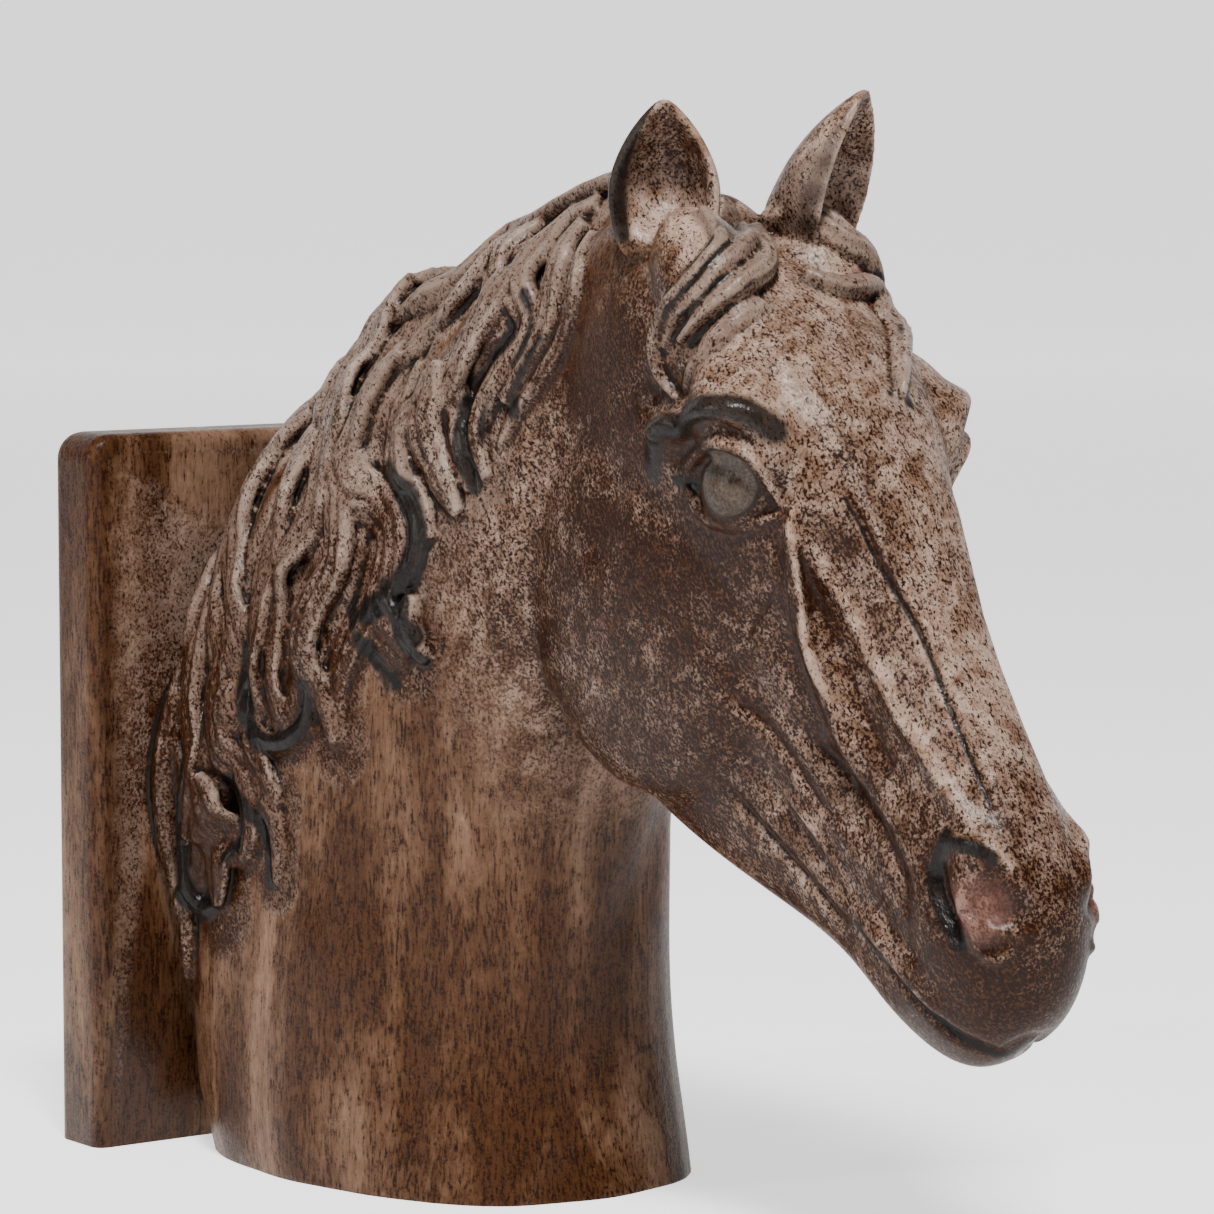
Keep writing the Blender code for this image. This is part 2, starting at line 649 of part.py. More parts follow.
def bust():
    """The horse, without its slab, running on below the underside."""
    mass = melted("mass", masses(), MASS_VOXEL, 8)
    skin = skin_of(mass)
    mass = modelled(mass, head_strokes(skin, HEAD_RELIEF) + neck_strokes(skin))
    skin = skin_of(mass)
    bed = mane_bed(skin)
    added = mane(skin_of(melted("bed", [mass, *bed], MASS_VOXEL, 4)))
    added += forelock(skin) + eyes(skin) + [ear(*row) for row in EARS]
    whole = melted("bust", [mass, *bed, *added], SKIN_VOXEL, 2)
    return modelled(whole, head_strokes(skin_of(whole), FINE_RELIEF))


def slab():
    """An upright plate with rounded top corners and worn edges, running on below the underside."""
    mesh = bmesh.new()
    foot = SLAB_EDGE_RADIUS * 3
    size = Matrix.Diagonal((SLAB_THICKNESS, SLAB_WIDTH, SLAB_HEIGHT + foot, 1))
    middle = Vector((SLAB_BACK_X + SLAB_THICKNESS / 2, 0, (SLAB_HEIGHT - foot) / 2))
    bmesh.ops.create_cube(mesh, size=1, matrix=Matrix.Translation(middle) @ size)
    corners = [
        edge
        for edge in mesh.edges
        if min(vert.co.z for vert in edge.verts) > SLAB_HEIGHT / 2
        and abs(edge.verts[0].co.x - edge.verts[1].co.x) > SLAB_THICKNESS / 2
    ]
    bmesh.ops.bevel(
        mesh, geom=corners, offset=SLAB_CORNER_RADIUS, segments=8, profile=0.5, affect="EDGES"
    )
    sharp = [edge for edge in mesh.edges if edge.calc_face_angle() > math.radians(40)]
    bmesh.ops.bevel(
        mesh, geom=sharp, offset=SLAB_EDGE_RADIUS, segments=3, profile=0.5, affect="EDGES"
    )
    data = bpy.data.meshes.new("slab")
    mesh.to_mesh(data)
    mesh.free()
    return data


def ground():
    """The block whose top trims everything flat at z = 0."""
    mesh = bmesh.new()
    size = 4 * max(SLAB_WIDTH, SLAB_HEIGHT, POLL_REACH + HEAD_LENGTH)
    under = Matrix.Translation((0, 0, -size / 2))
    bmesh.ops.create_cube(mesh, size=size, matrix=under)
    data = bpy.data.meshes.new("ground")
    mesh.to_mesh(data)
    mesh.free()
    return data


def glazed_resin():
    """Cast resin under a clear brown glaze."""
    material = bpy.data.materials.new("glazed resin")
    material.use_nodes = True
    shader = material.node_tree.nodes["Principled BSDF"]
    shader.inputs["Base Color"].default_value = (*GLAZED_RESIN, 1)
    shader.inputs["Roughness"].default_value = GLAZE_ROUGHNESS
    shader.inputs["Metallic"].default_value = 0
    return material


def add_boolean(obj, name, operation, other):
    step = obj.modifiers.new(name, "BOOLEAN")
    step.operation = operation
    step.object = other


def build():
    remove_everything()
    parts = collection("horse head bookend")
    cutters = collection("cutters")
    bookend = object_from(slimmed(bust(), TRIANGLES), "horse_head_bookend", parts)
    plate = object_from(slab(), "slab", cutters)
    trim = object_from(ground(), "ground", cutters)
    for helper in (plate, trim):
        helper.hide_render = True
        helper.display_type = "WIRE"
    add_boolean(bookend, "Slab", "UNION", plate)
    add_boolean(bookend, "Flat underside", "DIFFERENCE", trim)
    bookend.data.materials.append(glazed_resin())
    bookend.data.shade_smooth()
    bookend.data.set_sharp_from_angle(angle=math.radians(50))


build()
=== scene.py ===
"""Horse head bookend: the casting's full form, with its carved hair, glaze and varnish, in a white studio.

The horse looks along +X. The slab's back, which the books lean on, faces -X.
The underside lies at z = 0 and the horse's middle plane is y = 0. Its right side faces -Y.
"""

import json
import math

import bmesh
import bpy
import numpy as np
from mathutils import Matrix, Vector
from mathutils.bvhtree import BVHTree

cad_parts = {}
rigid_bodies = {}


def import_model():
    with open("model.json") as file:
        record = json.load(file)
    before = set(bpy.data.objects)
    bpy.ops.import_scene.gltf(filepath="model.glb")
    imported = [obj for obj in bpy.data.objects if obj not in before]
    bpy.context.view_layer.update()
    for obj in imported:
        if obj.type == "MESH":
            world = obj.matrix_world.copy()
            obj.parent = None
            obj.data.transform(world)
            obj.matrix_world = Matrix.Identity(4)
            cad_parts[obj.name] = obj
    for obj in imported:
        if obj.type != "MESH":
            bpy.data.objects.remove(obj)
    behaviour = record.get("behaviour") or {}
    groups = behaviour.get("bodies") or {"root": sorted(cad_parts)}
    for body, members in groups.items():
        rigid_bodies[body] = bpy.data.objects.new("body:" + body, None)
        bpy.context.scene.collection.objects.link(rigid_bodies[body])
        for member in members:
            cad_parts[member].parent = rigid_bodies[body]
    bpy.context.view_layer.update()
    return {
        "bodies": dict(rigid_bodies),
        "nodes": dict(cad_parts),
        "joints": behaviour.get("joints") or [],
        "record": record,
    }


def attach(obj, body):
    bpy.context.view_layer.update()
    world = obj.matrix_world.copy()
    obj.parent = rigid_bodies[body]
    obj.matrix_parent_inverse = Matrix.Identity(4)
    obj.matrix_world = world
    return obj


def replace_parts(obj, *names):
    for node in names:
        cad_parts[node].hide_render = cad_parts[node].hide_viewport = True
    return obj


# The slab
SLAB_WIDTH = 0.104
SLAB_HEIGHT = 0.132
SLAB_THICKNESS = 0.014
SLAB_CORNER_RADIUS = 0.005
SLAB_EDGE_RADIUS = 0.0022
SLAB_BACK_X = -0.059

# The horse
HEAD_LENGTH = 0.150
HEAD_PITCH = math.radians(54)
POLL_HEIGHT = 0.175
POLL_REACH = 0.125
NECK_HALF_WIDTH = 0.037
EAR_LENGTH = 0.028
EAR_WIDTH = 0.0185
EAR_WALL = 0.0024
EYEBALL_RADIUS = 0.0080
LOCK_HEIGHT = 0.0018
LOCK_SPREAD = 1.25
LOCK_TILT = math.radians(15)
LOCK_LAYER = 0.0005

# The casting's skin
MASS_VOXEL = 0.0009
SKIN_VOXEL = 0.0005
SKIN_SMOOTHING = 4
TRIANGLES = 700000

SLAB_FRONT_X = SLAB_BACK_X + SLAB_THICKNESS
NECK_REACH = POLL_REACH + SLAB_THICKNESS / 2
POLL = Vector((SLAB_FRONT_X + POLL_REACH, 0, POLL_HEIGHT))
RIGHT, LEFT = -1, 1
BOTH = (RIGHT, LEFT)

# The head is measured from the poll in shares of its length: x runs to the lips, z out of the forehead.
# Each station holds x, the top's z, four (y, z) pairs down the side, and the bottom's z.
HEAD_STATIONS = (
    (-0.08, -0.06, (0.06, -0.07), (0.10, -0.12), (0.10, -0.20), (0.07, -0.30), -0.32),
    (0.00, -0.012, (0.07, -0.02), (0.12, -0.08), (0.115, -0.20), (0.08, -0.36), -0.385),
    (0.10, 0.036, (0.09, 0.025), (0.14, -0.04), (0.125, -0.225), (0.095, -0.43), -0.45),
    (0.20, 0.072, (0.105, 0.058), (0.15, -0.01), (0.132, -0.24), (0.105, -0.49), -0.50),
    (0.30, 0.092, (0.10, 0.079), (0.15, 0.01), (0.13, -0.23), (0.105, -0.505), -0.51),
    (0.40, 0.092, (0.080, 0.077), (0.135, -0.03), (0.125, -0.225), (0.10, -0.505), -0.50),
    (0.50, 0.079, (0.060, 0.066), (0.113, -0.05), (0.108, -0.20), (0.092, -0.47), -0.47),
    (0.60, 0.066, (0.048, 0.055), (0.092, -0.05), (0.09, -0.185), (0.080, -0.41), -0.42),
    (0.70, 0.061, (0.044, 0.051), (0.080, -0.04), (0.08, -0.16), (0.068, -0.335), -0.355),
    (0.80, 0.061, (0.048, 0.051), (0.084, -0.02), (0.088, -0.135), (0.068, -0.26), -0.28),
    (0.88, 0.054, (0.056, 0.044), (0.092, -0.02), (0.092, -0.12), (0.068, -0.235), -0.262),
    (0.935, 0.030, (0.050, 0.016), (0.080, -0.035), (0.084, -0.115), (0.060, -0.205), -0.245),
    (0.98, -0.010, (0.036, -0.024), (0.060, -0.058), (0.066, -0.12), (0.045, -0.182), -0.215),
    (1.008, -0.055, (0.018, -0.068), (0.03, -0.085), (0.03, -0.12), (0.018, -0.15), -0.165),
)
# Balls that fill the head out on both sides: place, radii and tilt.
HEAD_MASSES = (
    ((0.325, 0.083, -0.272), (0.245, 0.060, 0.238), 0),
    ((0.282, 0.114, 0.002), (0.092, 0.052, 0.054), -12),
    ((0.110, 0.075, -0.010), (0.110, 0.060, 0.060), 0),
    ((0.870, 0.048, -0.010), (0.065, 0.042, 0.045), 0),
)
# Balls on the middle plane: the poll's tuft, the upper lip and the chin.
MIDDLE_MASSES = (
    ((0.040, 0, -0.032), (0.080, 0.060, 0.030), 0),
    ((0.955, 0, -0.104), (0.043, 0.050, 0.050), 0),
    ((0.905, 0, -0.192), (0.064, 0.055, 0.040), 0),
)
# The neck is measured from the poll too, level and upright: x in shares of the reach to the slab's
# middle, y in half widths, z in shares of the poll's height. Each row runs from crest to throat:
# the crest's (x, z), the throat's (x, z), then half widths at the shares of the way between them.
NECK_SHARES = (0.07, 0.33, 0.68, 0.94)
NECK_ROWS = (
    ((0.03, -0.03), (0.01, -0.23), (0.24, 0.32, 0.34, 0.24)),
    ((-0.10, 0.046), (-0.15, -0.35), (0.24, 0.42, 0.42, 0.30)),
    ((-0.26, 0.030), (-0.24, -0.47), (0.24, 0.52, 0.54, 0.38)),
    ((-0.42, -0.008), (-0.29, -0.62), (0.26, 0.64, 0.70, 0.44)),
    ((-0.60, -0.05), (-0.302, -0.76), (0.30, 0.76, 0.82, 0.48)),
    ((-0.78, -0.13), (-0.296, -0.88), (0.36, 0.90, 0.88, 0.52)),
    ((-1.00, -0.24), (-0.262, -0.98), (0.60, 1.02, 0.95, 0.56)),
    ((-1.00, -0.60), (-0.222, -1.07), (1.08, 1.08, 0.97, 0.58)),
    ((-1.00, -1.20), (-0.190, -1.226), (1.12, 1.12, 1.00, 0.60)),
)

# Modelling on the head: stops (x, degrees round from the forehead), half width and rise.
# The degrees turn about the line z = CORE_Z, towards either side alike.
CORE_Z = -0.15
BROW_STOPS = ((0.25, 86), (0.235, 76), (0.235, 66), (0.255, 56), (0.275, 46), (0.30, 38), (0.33, 32))
HEAD_RELIEF = (
    (BROW_STOPS, 0.018, 0.018),
    (((0.41, 18), (0.48, 15), (0.60, 12), (0.80, 11)), 0.018, 0.006),
    (((0.41, 31), (0.50, 31), (0.62, 33), (0.76, 34)), 0.036, -0.012),
    (((0.40, 34), (0.47, 45), (0.55, 51), (0.63, 56), (0.70, 57)), 0.013, 0.011),
    (((0.45, 58), (0.55, 64), (0.64, 68), (0.74, 64)), 0.028, -0.010),
    (((0.42, 100), (0.52, 100), (0.62, 84), (0.70, 72), (0.78, 74)), 0.022, -0.008),
    (((0.55, 132), (0.66, 128), (0.76, 112), (0.82, 96)), 0.022, -0.009),
    (((0.78, 92), (0.84, 80), (0.90, 62)), 0.014, -0.007),
    (((0.20, 106), (0.25, 130), (0.30, 134)), 0.03, -0.006),
    (((0.17, 80), (0.19, 62), (0.21, 48)), 0.026, -0.012),
    (((0.80, 28), (0.825, 22), (0.85, 18), (0.88, 15), (0.91, 17)), 0.015, 0.012),
    (((0.815, 32), (0.83, 37), (0.85, 39), (0.875, 39), (0.905, 38)), 0.012, -0.017),
    (((0.86, 28), (0.88, 26), (0.905, 25), (0.92, 26)), 0.029, -0.026),
)
# Finer lines, pressed after the skin is whole: the mouth and the folds round the eye.
FINE_RELIEF = (
    (((0.80, 122), (0.87, 103), (0.93, 88), (0.97, 76), (1.00, 48), (1.005, 0)), 0.0085, -0.009),
    (((0.79, 118), (0.86, 98), (0.92, 82), (0.95, 70)), 0.016, 0.006),
    (((0.27, 74), (0.268, 62), (0.285, 50), (0.31, 43), (0.345, 36)), 0.009, -0.006),
    (((0.86, 31), (0.88, 32), (0.90, 31), (0.925, 29)), 0.007, 0.010),
    (((0.90, 33), (0.925, 31), (0.94, 26), (0.935, 20)), 0.007, 0.007),
)
# The eye's middle, then the lids: stops, half width and height.
EYE_PLACE = (0.345, 51)
EYE_BULGE = 0.50
UPPER_LID = ((0.297, 70), (0.283, 60), (0.30, 50), (0.318, 45), (0.34, 40), (0.365, 38), (0.395, 37))
EYELIDS = (
    (UPPER_LID, 0.009, 0.010),
    (((0.302, 70), (0.33, 70), (0.355, 65), (0.38, 55), (0.395, 44), (0.40, 38)), 0.009, 0.009),
)
# Modelling on the neck: stops (x, z) on the right side, half width and rise in head lengths.
NECK_RELIEF = (
    (((-0.33, -0.50), (-0.31, -0.70), (-0.285, -0.90), (-0.26, -1.10)), 0.040, -0.007),
    (((-0.24, -0.20), (-0.27, -0.32), (-0.31, -0.45)), 0.014, 0.006),
    (((-0.36, -0.55), (-0.42, -0.75), (-0.40, -1.00)), 0.045, -0.010),
    (((-0.50, -0.70), (-0.60, -0.86), (-0.62, -1.05)), 0.060, 0.010),
)

# Locks of the mane on the neck's right side: root (x, z), length, the ways that it runs at equal
# steps, in degrees up from forwards, and the half width in head lengths that shows past its
# neighbours. Each lock spreads a little wider under them.
MANE_LOCKS = (
    ((-0.25, 0.03), 0.26, (-175, -165, -135, -110, -60, -50), 0.026),
    ((-0.22, 0.00), 0.36, (-160, -115, -55, -135, -120, -60), 0.022),
    ((-0.22, -0.02), 0.20, (-120, -80, -90, -125, -130, -120), 0.022),
    ((-0.19, -0.03), 0.26, (-60, -105, -130, -135, -135, -125), 0.014),
    ((-0.08, 0.05), 0.52, (175, -165, -155, -150, -150), 0.028),
    ((-0.40, 0.00), 0.29, (-145, -140, -150, -155, -160, -165), 0.022),
    ((-0.37, -0.02), 0.23, (-140, -125, -140, -145, -145, -135), 0.024),
    ((-0.30, -0.06), 0.24, (-140, -125, -120, -140, -150), 0.024),
    ((-0.57, -0.08), 0.24, (-165, -130, -95, -75, -70), 0.036),
    ((-0.74, -0.14), 0.16, (-150, -80, -45, -45, -40, -35), 0.018),
    ((-0.64, -0.14), 0.16, (-150, -130, -100, -80, -75, -65), 0.024),
    ((-0.53, -0.15), 0.28, (-140, -120, -115, -40, -15, -20), 0.030),
    ((-0.48, -0.16), 0.33, (-120, -100, -30, -45, -110, -160), 0.022),
    ((-0.45, -0.17), 0.21, (-95, -140, -80, -45, -35, -50), 0.020),
    ((-0.42, -0.16), 0.18, (-95, -100, -70, -45, -40, -40), 0.022),
    ((-0.38, -0.16), 0.14, (-105, -100, -75, -55, -45, -55), 0.018),
    ((-0.50, -0.39), 0.10, (-55, -50, -40, -35, -35, -30), 0.032),
    ((-0.42, -0.39), 0.08, (-100, -100, -65, -50, -45, -35), 0.016),
    ((-0.86, -0.19), 0.38, (-110, -105, -90, -55, -45, -65), 0.026),
    ((-0.76, -0.20), 0.38, (-145, -130, -85, -55, -45, -75), 0.030),
    ((-0.70, -0.24), 0.30, (-110, -95, -85, -80, -90), 0.034),
    ((-0.66, -0.20), 0.36, (-105, -70, -125, -100, -75, -55), 0.040),
    ((-0.73, -0.46), 0.24, (-95, -70, -25, 5, 30, 75), 0.012),
    ((-0.61, -0.27), 0.32, (-55, -70, -125, -105, -55, -55), 0.022),
    ((-0.58, -0.26), 0.37, (-40, -30, -95, -140, -115, -75), 0.030),
    ((-0.92, -0.38), 0.28, (-90, -95, -100, -85, -70, -70), 0.032),
    ((-0.89, -0.41), 0.27, (-90, -80, -75, -60, -80, -110), 0.024),
    ((-0.84, -0.42), 0.36, (-50, -85, -60, -30, -30, -80), 0.024),
    ((-0.73, -0.48), 0.19, (-125, -95, -50, -40, -35, -35), 0.026),
    ((-0.82, -0.60), 0.14, (-60, -70, -80, -85), 0.040),
    ((-0.88, -0.58), 0.22, (-90, -90, -85, -70, -30, 15), 0.015),
    ((-0.76, -0.58), 0.14, (-40, -50, -70, -110, -150), 0.018),
    ((-0.88, -0.72), 0.10, (-95, -85, -75), 0.020),
)
# Low swells that the locks lie on: stops (x, z) on the right side, half width and height.
MANE_BED = (
    (((-0.28, -0.07), (-0.38, -0.10), (-0.45, -0.18), (-0.46, -0.28)), 0.075, 0.021),
    (((-0.52, -0.10), (-0.66, -0.22), (-0.64, -0.36), (-0.66, -0.54)), 0.115, 0.025),
    (((-0.84, -0.22), (-0.86, -0.40), (-0.84, -0.56), (-0.88, -0.74)), 0.095, 0.025),
)
# The left side has every other lock again, combed shorter.
LEFT_LOCK_SHARE = 0.72
# Rolls of hair on the crest and beside the slab: the way each stands out, stops (x, y, z) in the
# neck's shares, half width and height.
CREST_ROLL = ((-0.55, 0.12, -0.12), (-0.69, 0.16, -0.10), (-0.83, 0.20, -0.125), (-0.94, 0.22, -0.19))
UNDER_ROLL = ((-0.53, 0.16, -0.15), (-0.67, 0.20, -0.15), (-0.81, 0.24, -0.18), (-0.92, 0.26, -0.24))
SLAB_ROLL = ((-0.92, -0.90, -0.47), (-0.93, -1.02, -0.58), (-0.93, -1.03, -0.66), (-0.92, -0.96, -0.76))
ROLLS = (
    ((-0.5, 0.2, 0.84), CREST_ROLL, 0.036, 0.030),
    ((-0.5, 0.2, 0.84), UNDER_ROLL, 0.062, 0.040),
    ((0.7, -0.7, 0), SLAB_ROLL, 0.016, 0.016),
)
# Locks of the forelock, from root to tip: stops (x, degrees round), half width and height.
BESIDE_EAR = ((0.03, 24), (0.08, 24), (0.10, 29), (0.12, 38), (0.125, 46), (0.14, 55), (0.17, 60), (0.21, 58))
DOWN_BLAZE = ((0.14, -34), (0.17, -30), (0.20, -29), (0.22, -25), (0.25, -18), (0.29, -11), (0.315, -8))
FORELOCKS = (
    (BESIDE_EAR, 0.013, 0.017),
    (((0.03, 2), (0.06, 9), (0.10, 21), (0.12, 29), (0.135, 36), (0.14, 45), (0.155, 53)), 0.012, 0.015),
    (((0.04, -2), (0.075, 4), (0.095, 9), (0.12, 15), (0.14, 24), (0.15, 31), (0.165, 46)), 0.017, 0.022),
    (((0.16, 18), (0.17, 24), (0.18, 31), (0.19, 38), (0.20, 46), (0.205, 53)), 0.014, 0.009),
    (((0.02, -10), (0.045, -18), (0.085, -22), (0.105, -29), (0.135, -34)), 0.022, 0.022),
    (((0.125, -4), (0.145, -12), (0.145, -20), (0.14, -28), (0.15, -34)), 0.015, 0.017),
    (DOWN_BLAZE, 0.016, 0.020),
)

# Each ear: its side, its root and the way to its tip, level and in head lengths from the poll,
# the way that its hollow faces, and its size in ear lengths.
EARS = (
    (RIGHT, (-0.014, -0.088, -0.066), (0.08, -0.065, 1.0), (0.75, -0.65, 0), 1.0),
    (LEFT, (0.040, 0.088, -0.060), (0.30, 0.12, 1.0), (0.88, 0.48, 0), 1.07),
)
# Shares of the ear's length, of its half width there, how far its hollow cuts in and its depth.
EAR_STATIONS = (
    (0.00, 0.72, 0.00, 1.50),
    (0.16, 0.90, 0.15, 1.35),
    (0.30, 1.02, 0.75, 1.10),
    (0.48, 1.05, 1.00, 0.95),
    (0.64, 0.90, 1.00, 0.90),
    (0.80, 0.64, 0.95, 0.85),
    (0.92, 0.34, 0.80, 0.80),
    (1.00, 0.08, 0.00, 0.80),
)

# The flat sides round a band, the strands across it, and their depth as a share of its height.
BAND_SIDES = 32
STRANDS = 3
STRAND_DEPTH = 0.19
# How many places the paths hold: a short band, a lock, a line on the neck or in a mask, a stroke on
# the head, and a charcoal line.
SHORT_PLACES = 24
LOCK_PLACES = 60
LINE_PLACES = 80
STROKE_PLACES = 120
CHARCOAL_PLACES = 160

# Charcoal on the mane's locks: which lock, from which share of its length on, how far aside of its
# middle and how wide, both in half widths.
CHARCOAL_LOCKS = (
    (1, 0.45, 0.75, 0.28),
    (1, 0.40, -0.75, 0.22),
    (2, 0.55, -0.70, 0.25),
    (12, 0.40, -0.50, 0.42),
    (13, 0.60, 0.50, 0.25),
    (15, 0.60, -0.60, 0.25),
    (16, 0.05, -0.90, 0.22),
    (16, 0.05, 0.90, 0.20),
    (17, 0.10, 0.10, 0.40),
    (21, 0.60, -0.90, 0.12),
    (22, 0.00, 0.0, 0.60),
    (25, 0.30, -0.90, 0.12),
    (27, 0.55, 0.50, 0.25),
    (30, 0.00, -0.20, 0.60),
    (31, 0.20, 0.60, 0.30),
)
CHARCOAL_TUFTS = (
    (0, 0.15, 0.9, 0.30),
    (1, 0.10, 0.9, 0.22),
    (2, 0.30, -0.9, 0.26),
    (2, 0.55, 0.9, 0.18),
    (5, 0.05, -0.9, 0.22),
    (6, 0.30, -0.8, 0.35),
    (6, 0.45, 0.9, 0.22),
)
# Charcoal lines on the head: the sides, stops (x, degrees round), half width in head lengths and
# the soft edge's width in half widths.
CHARCOAL_LINES = (
    ((RIGHT,), BROW_STOPS, 0.010, 1.8),
    (BOTH, ((0.285, 76), (0.295, 70), (0.31, 66)), 0.005, 0.8),
    (BOTH, ((0.42, 20), (0.50, 17), (0.60, 13), (0.70, 13), (0.79, 13)), 0.001, 3.5),
    (BOTH, ((0.80, 28), (0.815, 33), (0.83, 37), (0.85, 39), (0.875, 39), (0.905, 38)), 0.006, 1.8),
    (BOTH, ((0.81, 28), (0.83, 24), (0.85, 20)), 0.004, 2.4),
    (BOTH, ((0.80, 122), (0.87, 103), (0.93, 88), (0.97, 76), (1.00, 48), (1.005, 0)), 0.003, 0.8),
)
# The face's finer ridges, veins and folds: stops (x, degrees round), half width and rise.
FACE_LINES = (
    (((0.41, 20), (0.45, 18), (0.50, 17), (0.55, 15), (0.60, 13), (0.70, 13), (0.80, 13)), 0.006, -0.005),
    (((0.42, 36), (0.46, 33), (0.52, 28), (0.60, 26), (0.70, 23), (0.80, 20), (0.86, 15)), 0.012, 0.008),
    (((0.40, 33), (0.42, 37), (0.45, 40), (0.49, 44), (0.53, 49), (0.57, 51), (0.61, 51)), 0.006, 0.009),
    (((0.45, 36), (0.50, 37), (0.56, 37), (0.62, 37), (0.68, 36), (0.74, 34)), 0.012, -0.006),
    (((0.41, 42), (0.44, 45), (0.47, 49), (0.50, 54)), 0.008, -0.005),
    (((0.46, 52), (0.465, 62), (0.47, 72), (0.48, 85)), 0.004, -0.003),
    (((0.60, 82), (0.65, 68), (0.69, 60), (0.73, 55), (0.77, 53), (0.81, 53), (0.85, 60)), 0.010, -0.008),
    (((0.50, 112), (0.53, 112), (0.57, 108), (0.62, 104), (0.66, 103), (0.70, 92)), 0.009, -0.006),
    (((0.57, 147), (0.61, 148), (0.67, 146), (0.72, 142), (0.77, 136), (0.80, 128)), 0.009, -0.007),
    (((0.62, 128), (0.66, 124), (0.70, 120), (0.76, 115)), 0.011, 0.008),
    (((0.232, 76), (0.230, 68), (0.240, 58)), 0.012, 0.008),
)
# The shaded side of the ears, and where the charcoal rim starts on each, in half widths.
EAR_SHADED_WAY = (-0.6, -0.8, 0)
EAR_RIM_STARTS = (0.55, 0.80)
NOSTRIL_PLACE = (0.888, 28)
NOSTRIL_RADIUS = 0.0068

# The glaze's colours
TAUPE = (0.34, 0.236, 0.184)
TAUPE_DARK = (0.20, 0.116, 0.074)
HAIR_LIGHT = (0.34, 0.250, 0.203)
HAIR_DARK = (0.19, 0.132, 0.102)
GOLDEN = (0.110, 0.052, 0.020)
BROWN = (0.048, 0.018, 0.0065)
UMBER = (0.013, 0.004, 0.0018)
CHARCOAL = (0.0045, 0.0042, 0.004)
NOSTRIL_COLOUR = (0.15, 0.070, 0.054)
EYE_DARK = (0.026, 0.018, 0.013)
EYE_LIGHT = (0.085, 0.062, 0.048)
PIECES = ("head_right", "head_left", "mane_right", "mane_left", "neck_and_slab")
MASKS = ("hollow", "ridge", "hair", "charcoal", "eye", "pink", "head", "painted_top_light", "glaze_and_shade_pool")
# The way that faces turn to take painted light, as if lit from above and in front. Dark patches, partly
# gathered glaze and partly painted shade on the cheek, round the eye and behind the jaw: x, degrees round,
# radius, strength.
PAINTED_LIGHT_WAY = (0.45, 0.0, 0.89)
GLAZE_AND_SHADE_POOLS = (
    (0.94, 20, 0.12, 0.9),
    (0.97, 80, 0.11, 0.7),
    (0.10, 105, 0.11, 0.6),
    (0.20, 85, 0.08, 0.5),
    (0.40, 110, 0.16, 0.6),
    (0.25, 140, 0.12, 0.5),
    (0.60, 75, 0.06, 0.3),
    (0.29, 60, 0.07, 0.7),
    (0.45, 85, 0.10, 0.4),
)
# Depths of hollows and heights of ridges where the glaze starts to change and where it has changed,
# against the surface close by and further round.
FINE_HOLLOW = (0.00002, 0.00012)
BROAD_HOLLOW = (0.0003, 0.0011)
FINE_RIDGE = (0.00003, 0.00014)
BROAD_RIDGE = (0.0004, 0.0014)
# The mane gets darker from this height down to the next, by so much more: partly more glaze, partly painted
# shade as the light falls off lower down.
DARK_MANE_HIGH = 0.135
DARK_MANE_LOW = 0.080
DARK_MANE = 0.45

# The view
LENS = 150.48
CAMERA_PLACE = (0.7571, -0.5185, 0.1894)
LOOK_AT = (0.0726, -0.0212, 0.1080)


def head_frame():
    """The matrix from shares of the head's length to the world."""
    turned = Matrix.Rotation(HEAD_PITCH, 4, "Y")
    return Matrix.Translation(POLL) @ turned @ Matrix.Scale(HEAD_LENGTH, 4)


def neck_frame():
    shares = Matrix.Diagonal((NECK_REACH, NECK_HALF_WIDTH, POLL_HEIGHT, 1))
    return Matrix.Translation(POLL) @ shares


def object_from(data, name):
    made = bpy.data.objects.new(name, data)
    bpy.context.scene.collection.objects.link(made)
    return made


def baked(obj):
    """The object with its modifiers applied, as a new mesh in world space. The object is removed."""
    graph = bpy.context.evaluated_depsgraph_get()
    mesh = bpy.data.meshes.new_from_object(obj.evaluated_get(graph))
    mesh.transform(obj.matrix_world)
    bpy.data.objects.remove(obj)
    return mesh


def mesh_from(reader, name):
    """The reader's form as a new mesh. The reader is freed."""
    made = bpy.data.meshes.new(name)
    reader.to_mesh(made)
    reader.free()
    return made


def loft(name, rings, levels):
    """A closed form through rings that hold the same number of points, softened by subdivision."""
    mesh = bmesh.new()
    rows = [[mesh.verts.new(point) for point in ring] for ring in rings]
    for before, after in zip(rows, rows[1:]):
        for k in range(len(before)):
            beside = (k + 1) % len(before)
            mesh.faces.new((before[k], before[beside], after[beside], after[k]))
    mesh.faces.new(rows[0][::-1])
    mesh.faces.new(rows[-1])
    bmesh.ops.recalc_face_normals(mesh, faces=mesh.faces)
    data = mesh_from(mesh, name)
    if not levels:
        return data
    made = object_from(data, name)
    soft = made.modifiers.new("Soft", "SUBSURF")
    soft.levels = levels
    soft.render_levels = levels
    return baked(made)


def mirrored_ring(middle_top, side, middle_bottom):
    """A ring through points of the right and the left side, between its top and bottom points."""
    right = [Vector((x, -y, z)) for x, y, z in side]
    left = [Vector((x, y, z)) for x, y, z in reversed(side)]
    return [Vector(middle_top)] + right + [Vector(middle_bottom)] + left


def head_core():
    frame = head_frame()
    rings = []
    for x, top, edge, brow, cheek, jaw, bottom in HEAD_STATIONS:
        side = [(x, y, z) for y, z in (edge, brow, cheek, jaw)]
        ring = mirrored_ring((x, 0, top), side, (x, 0, bottom))
        rings.append([frame @ point for point in ring])
    return loft("head core", rings, 2)


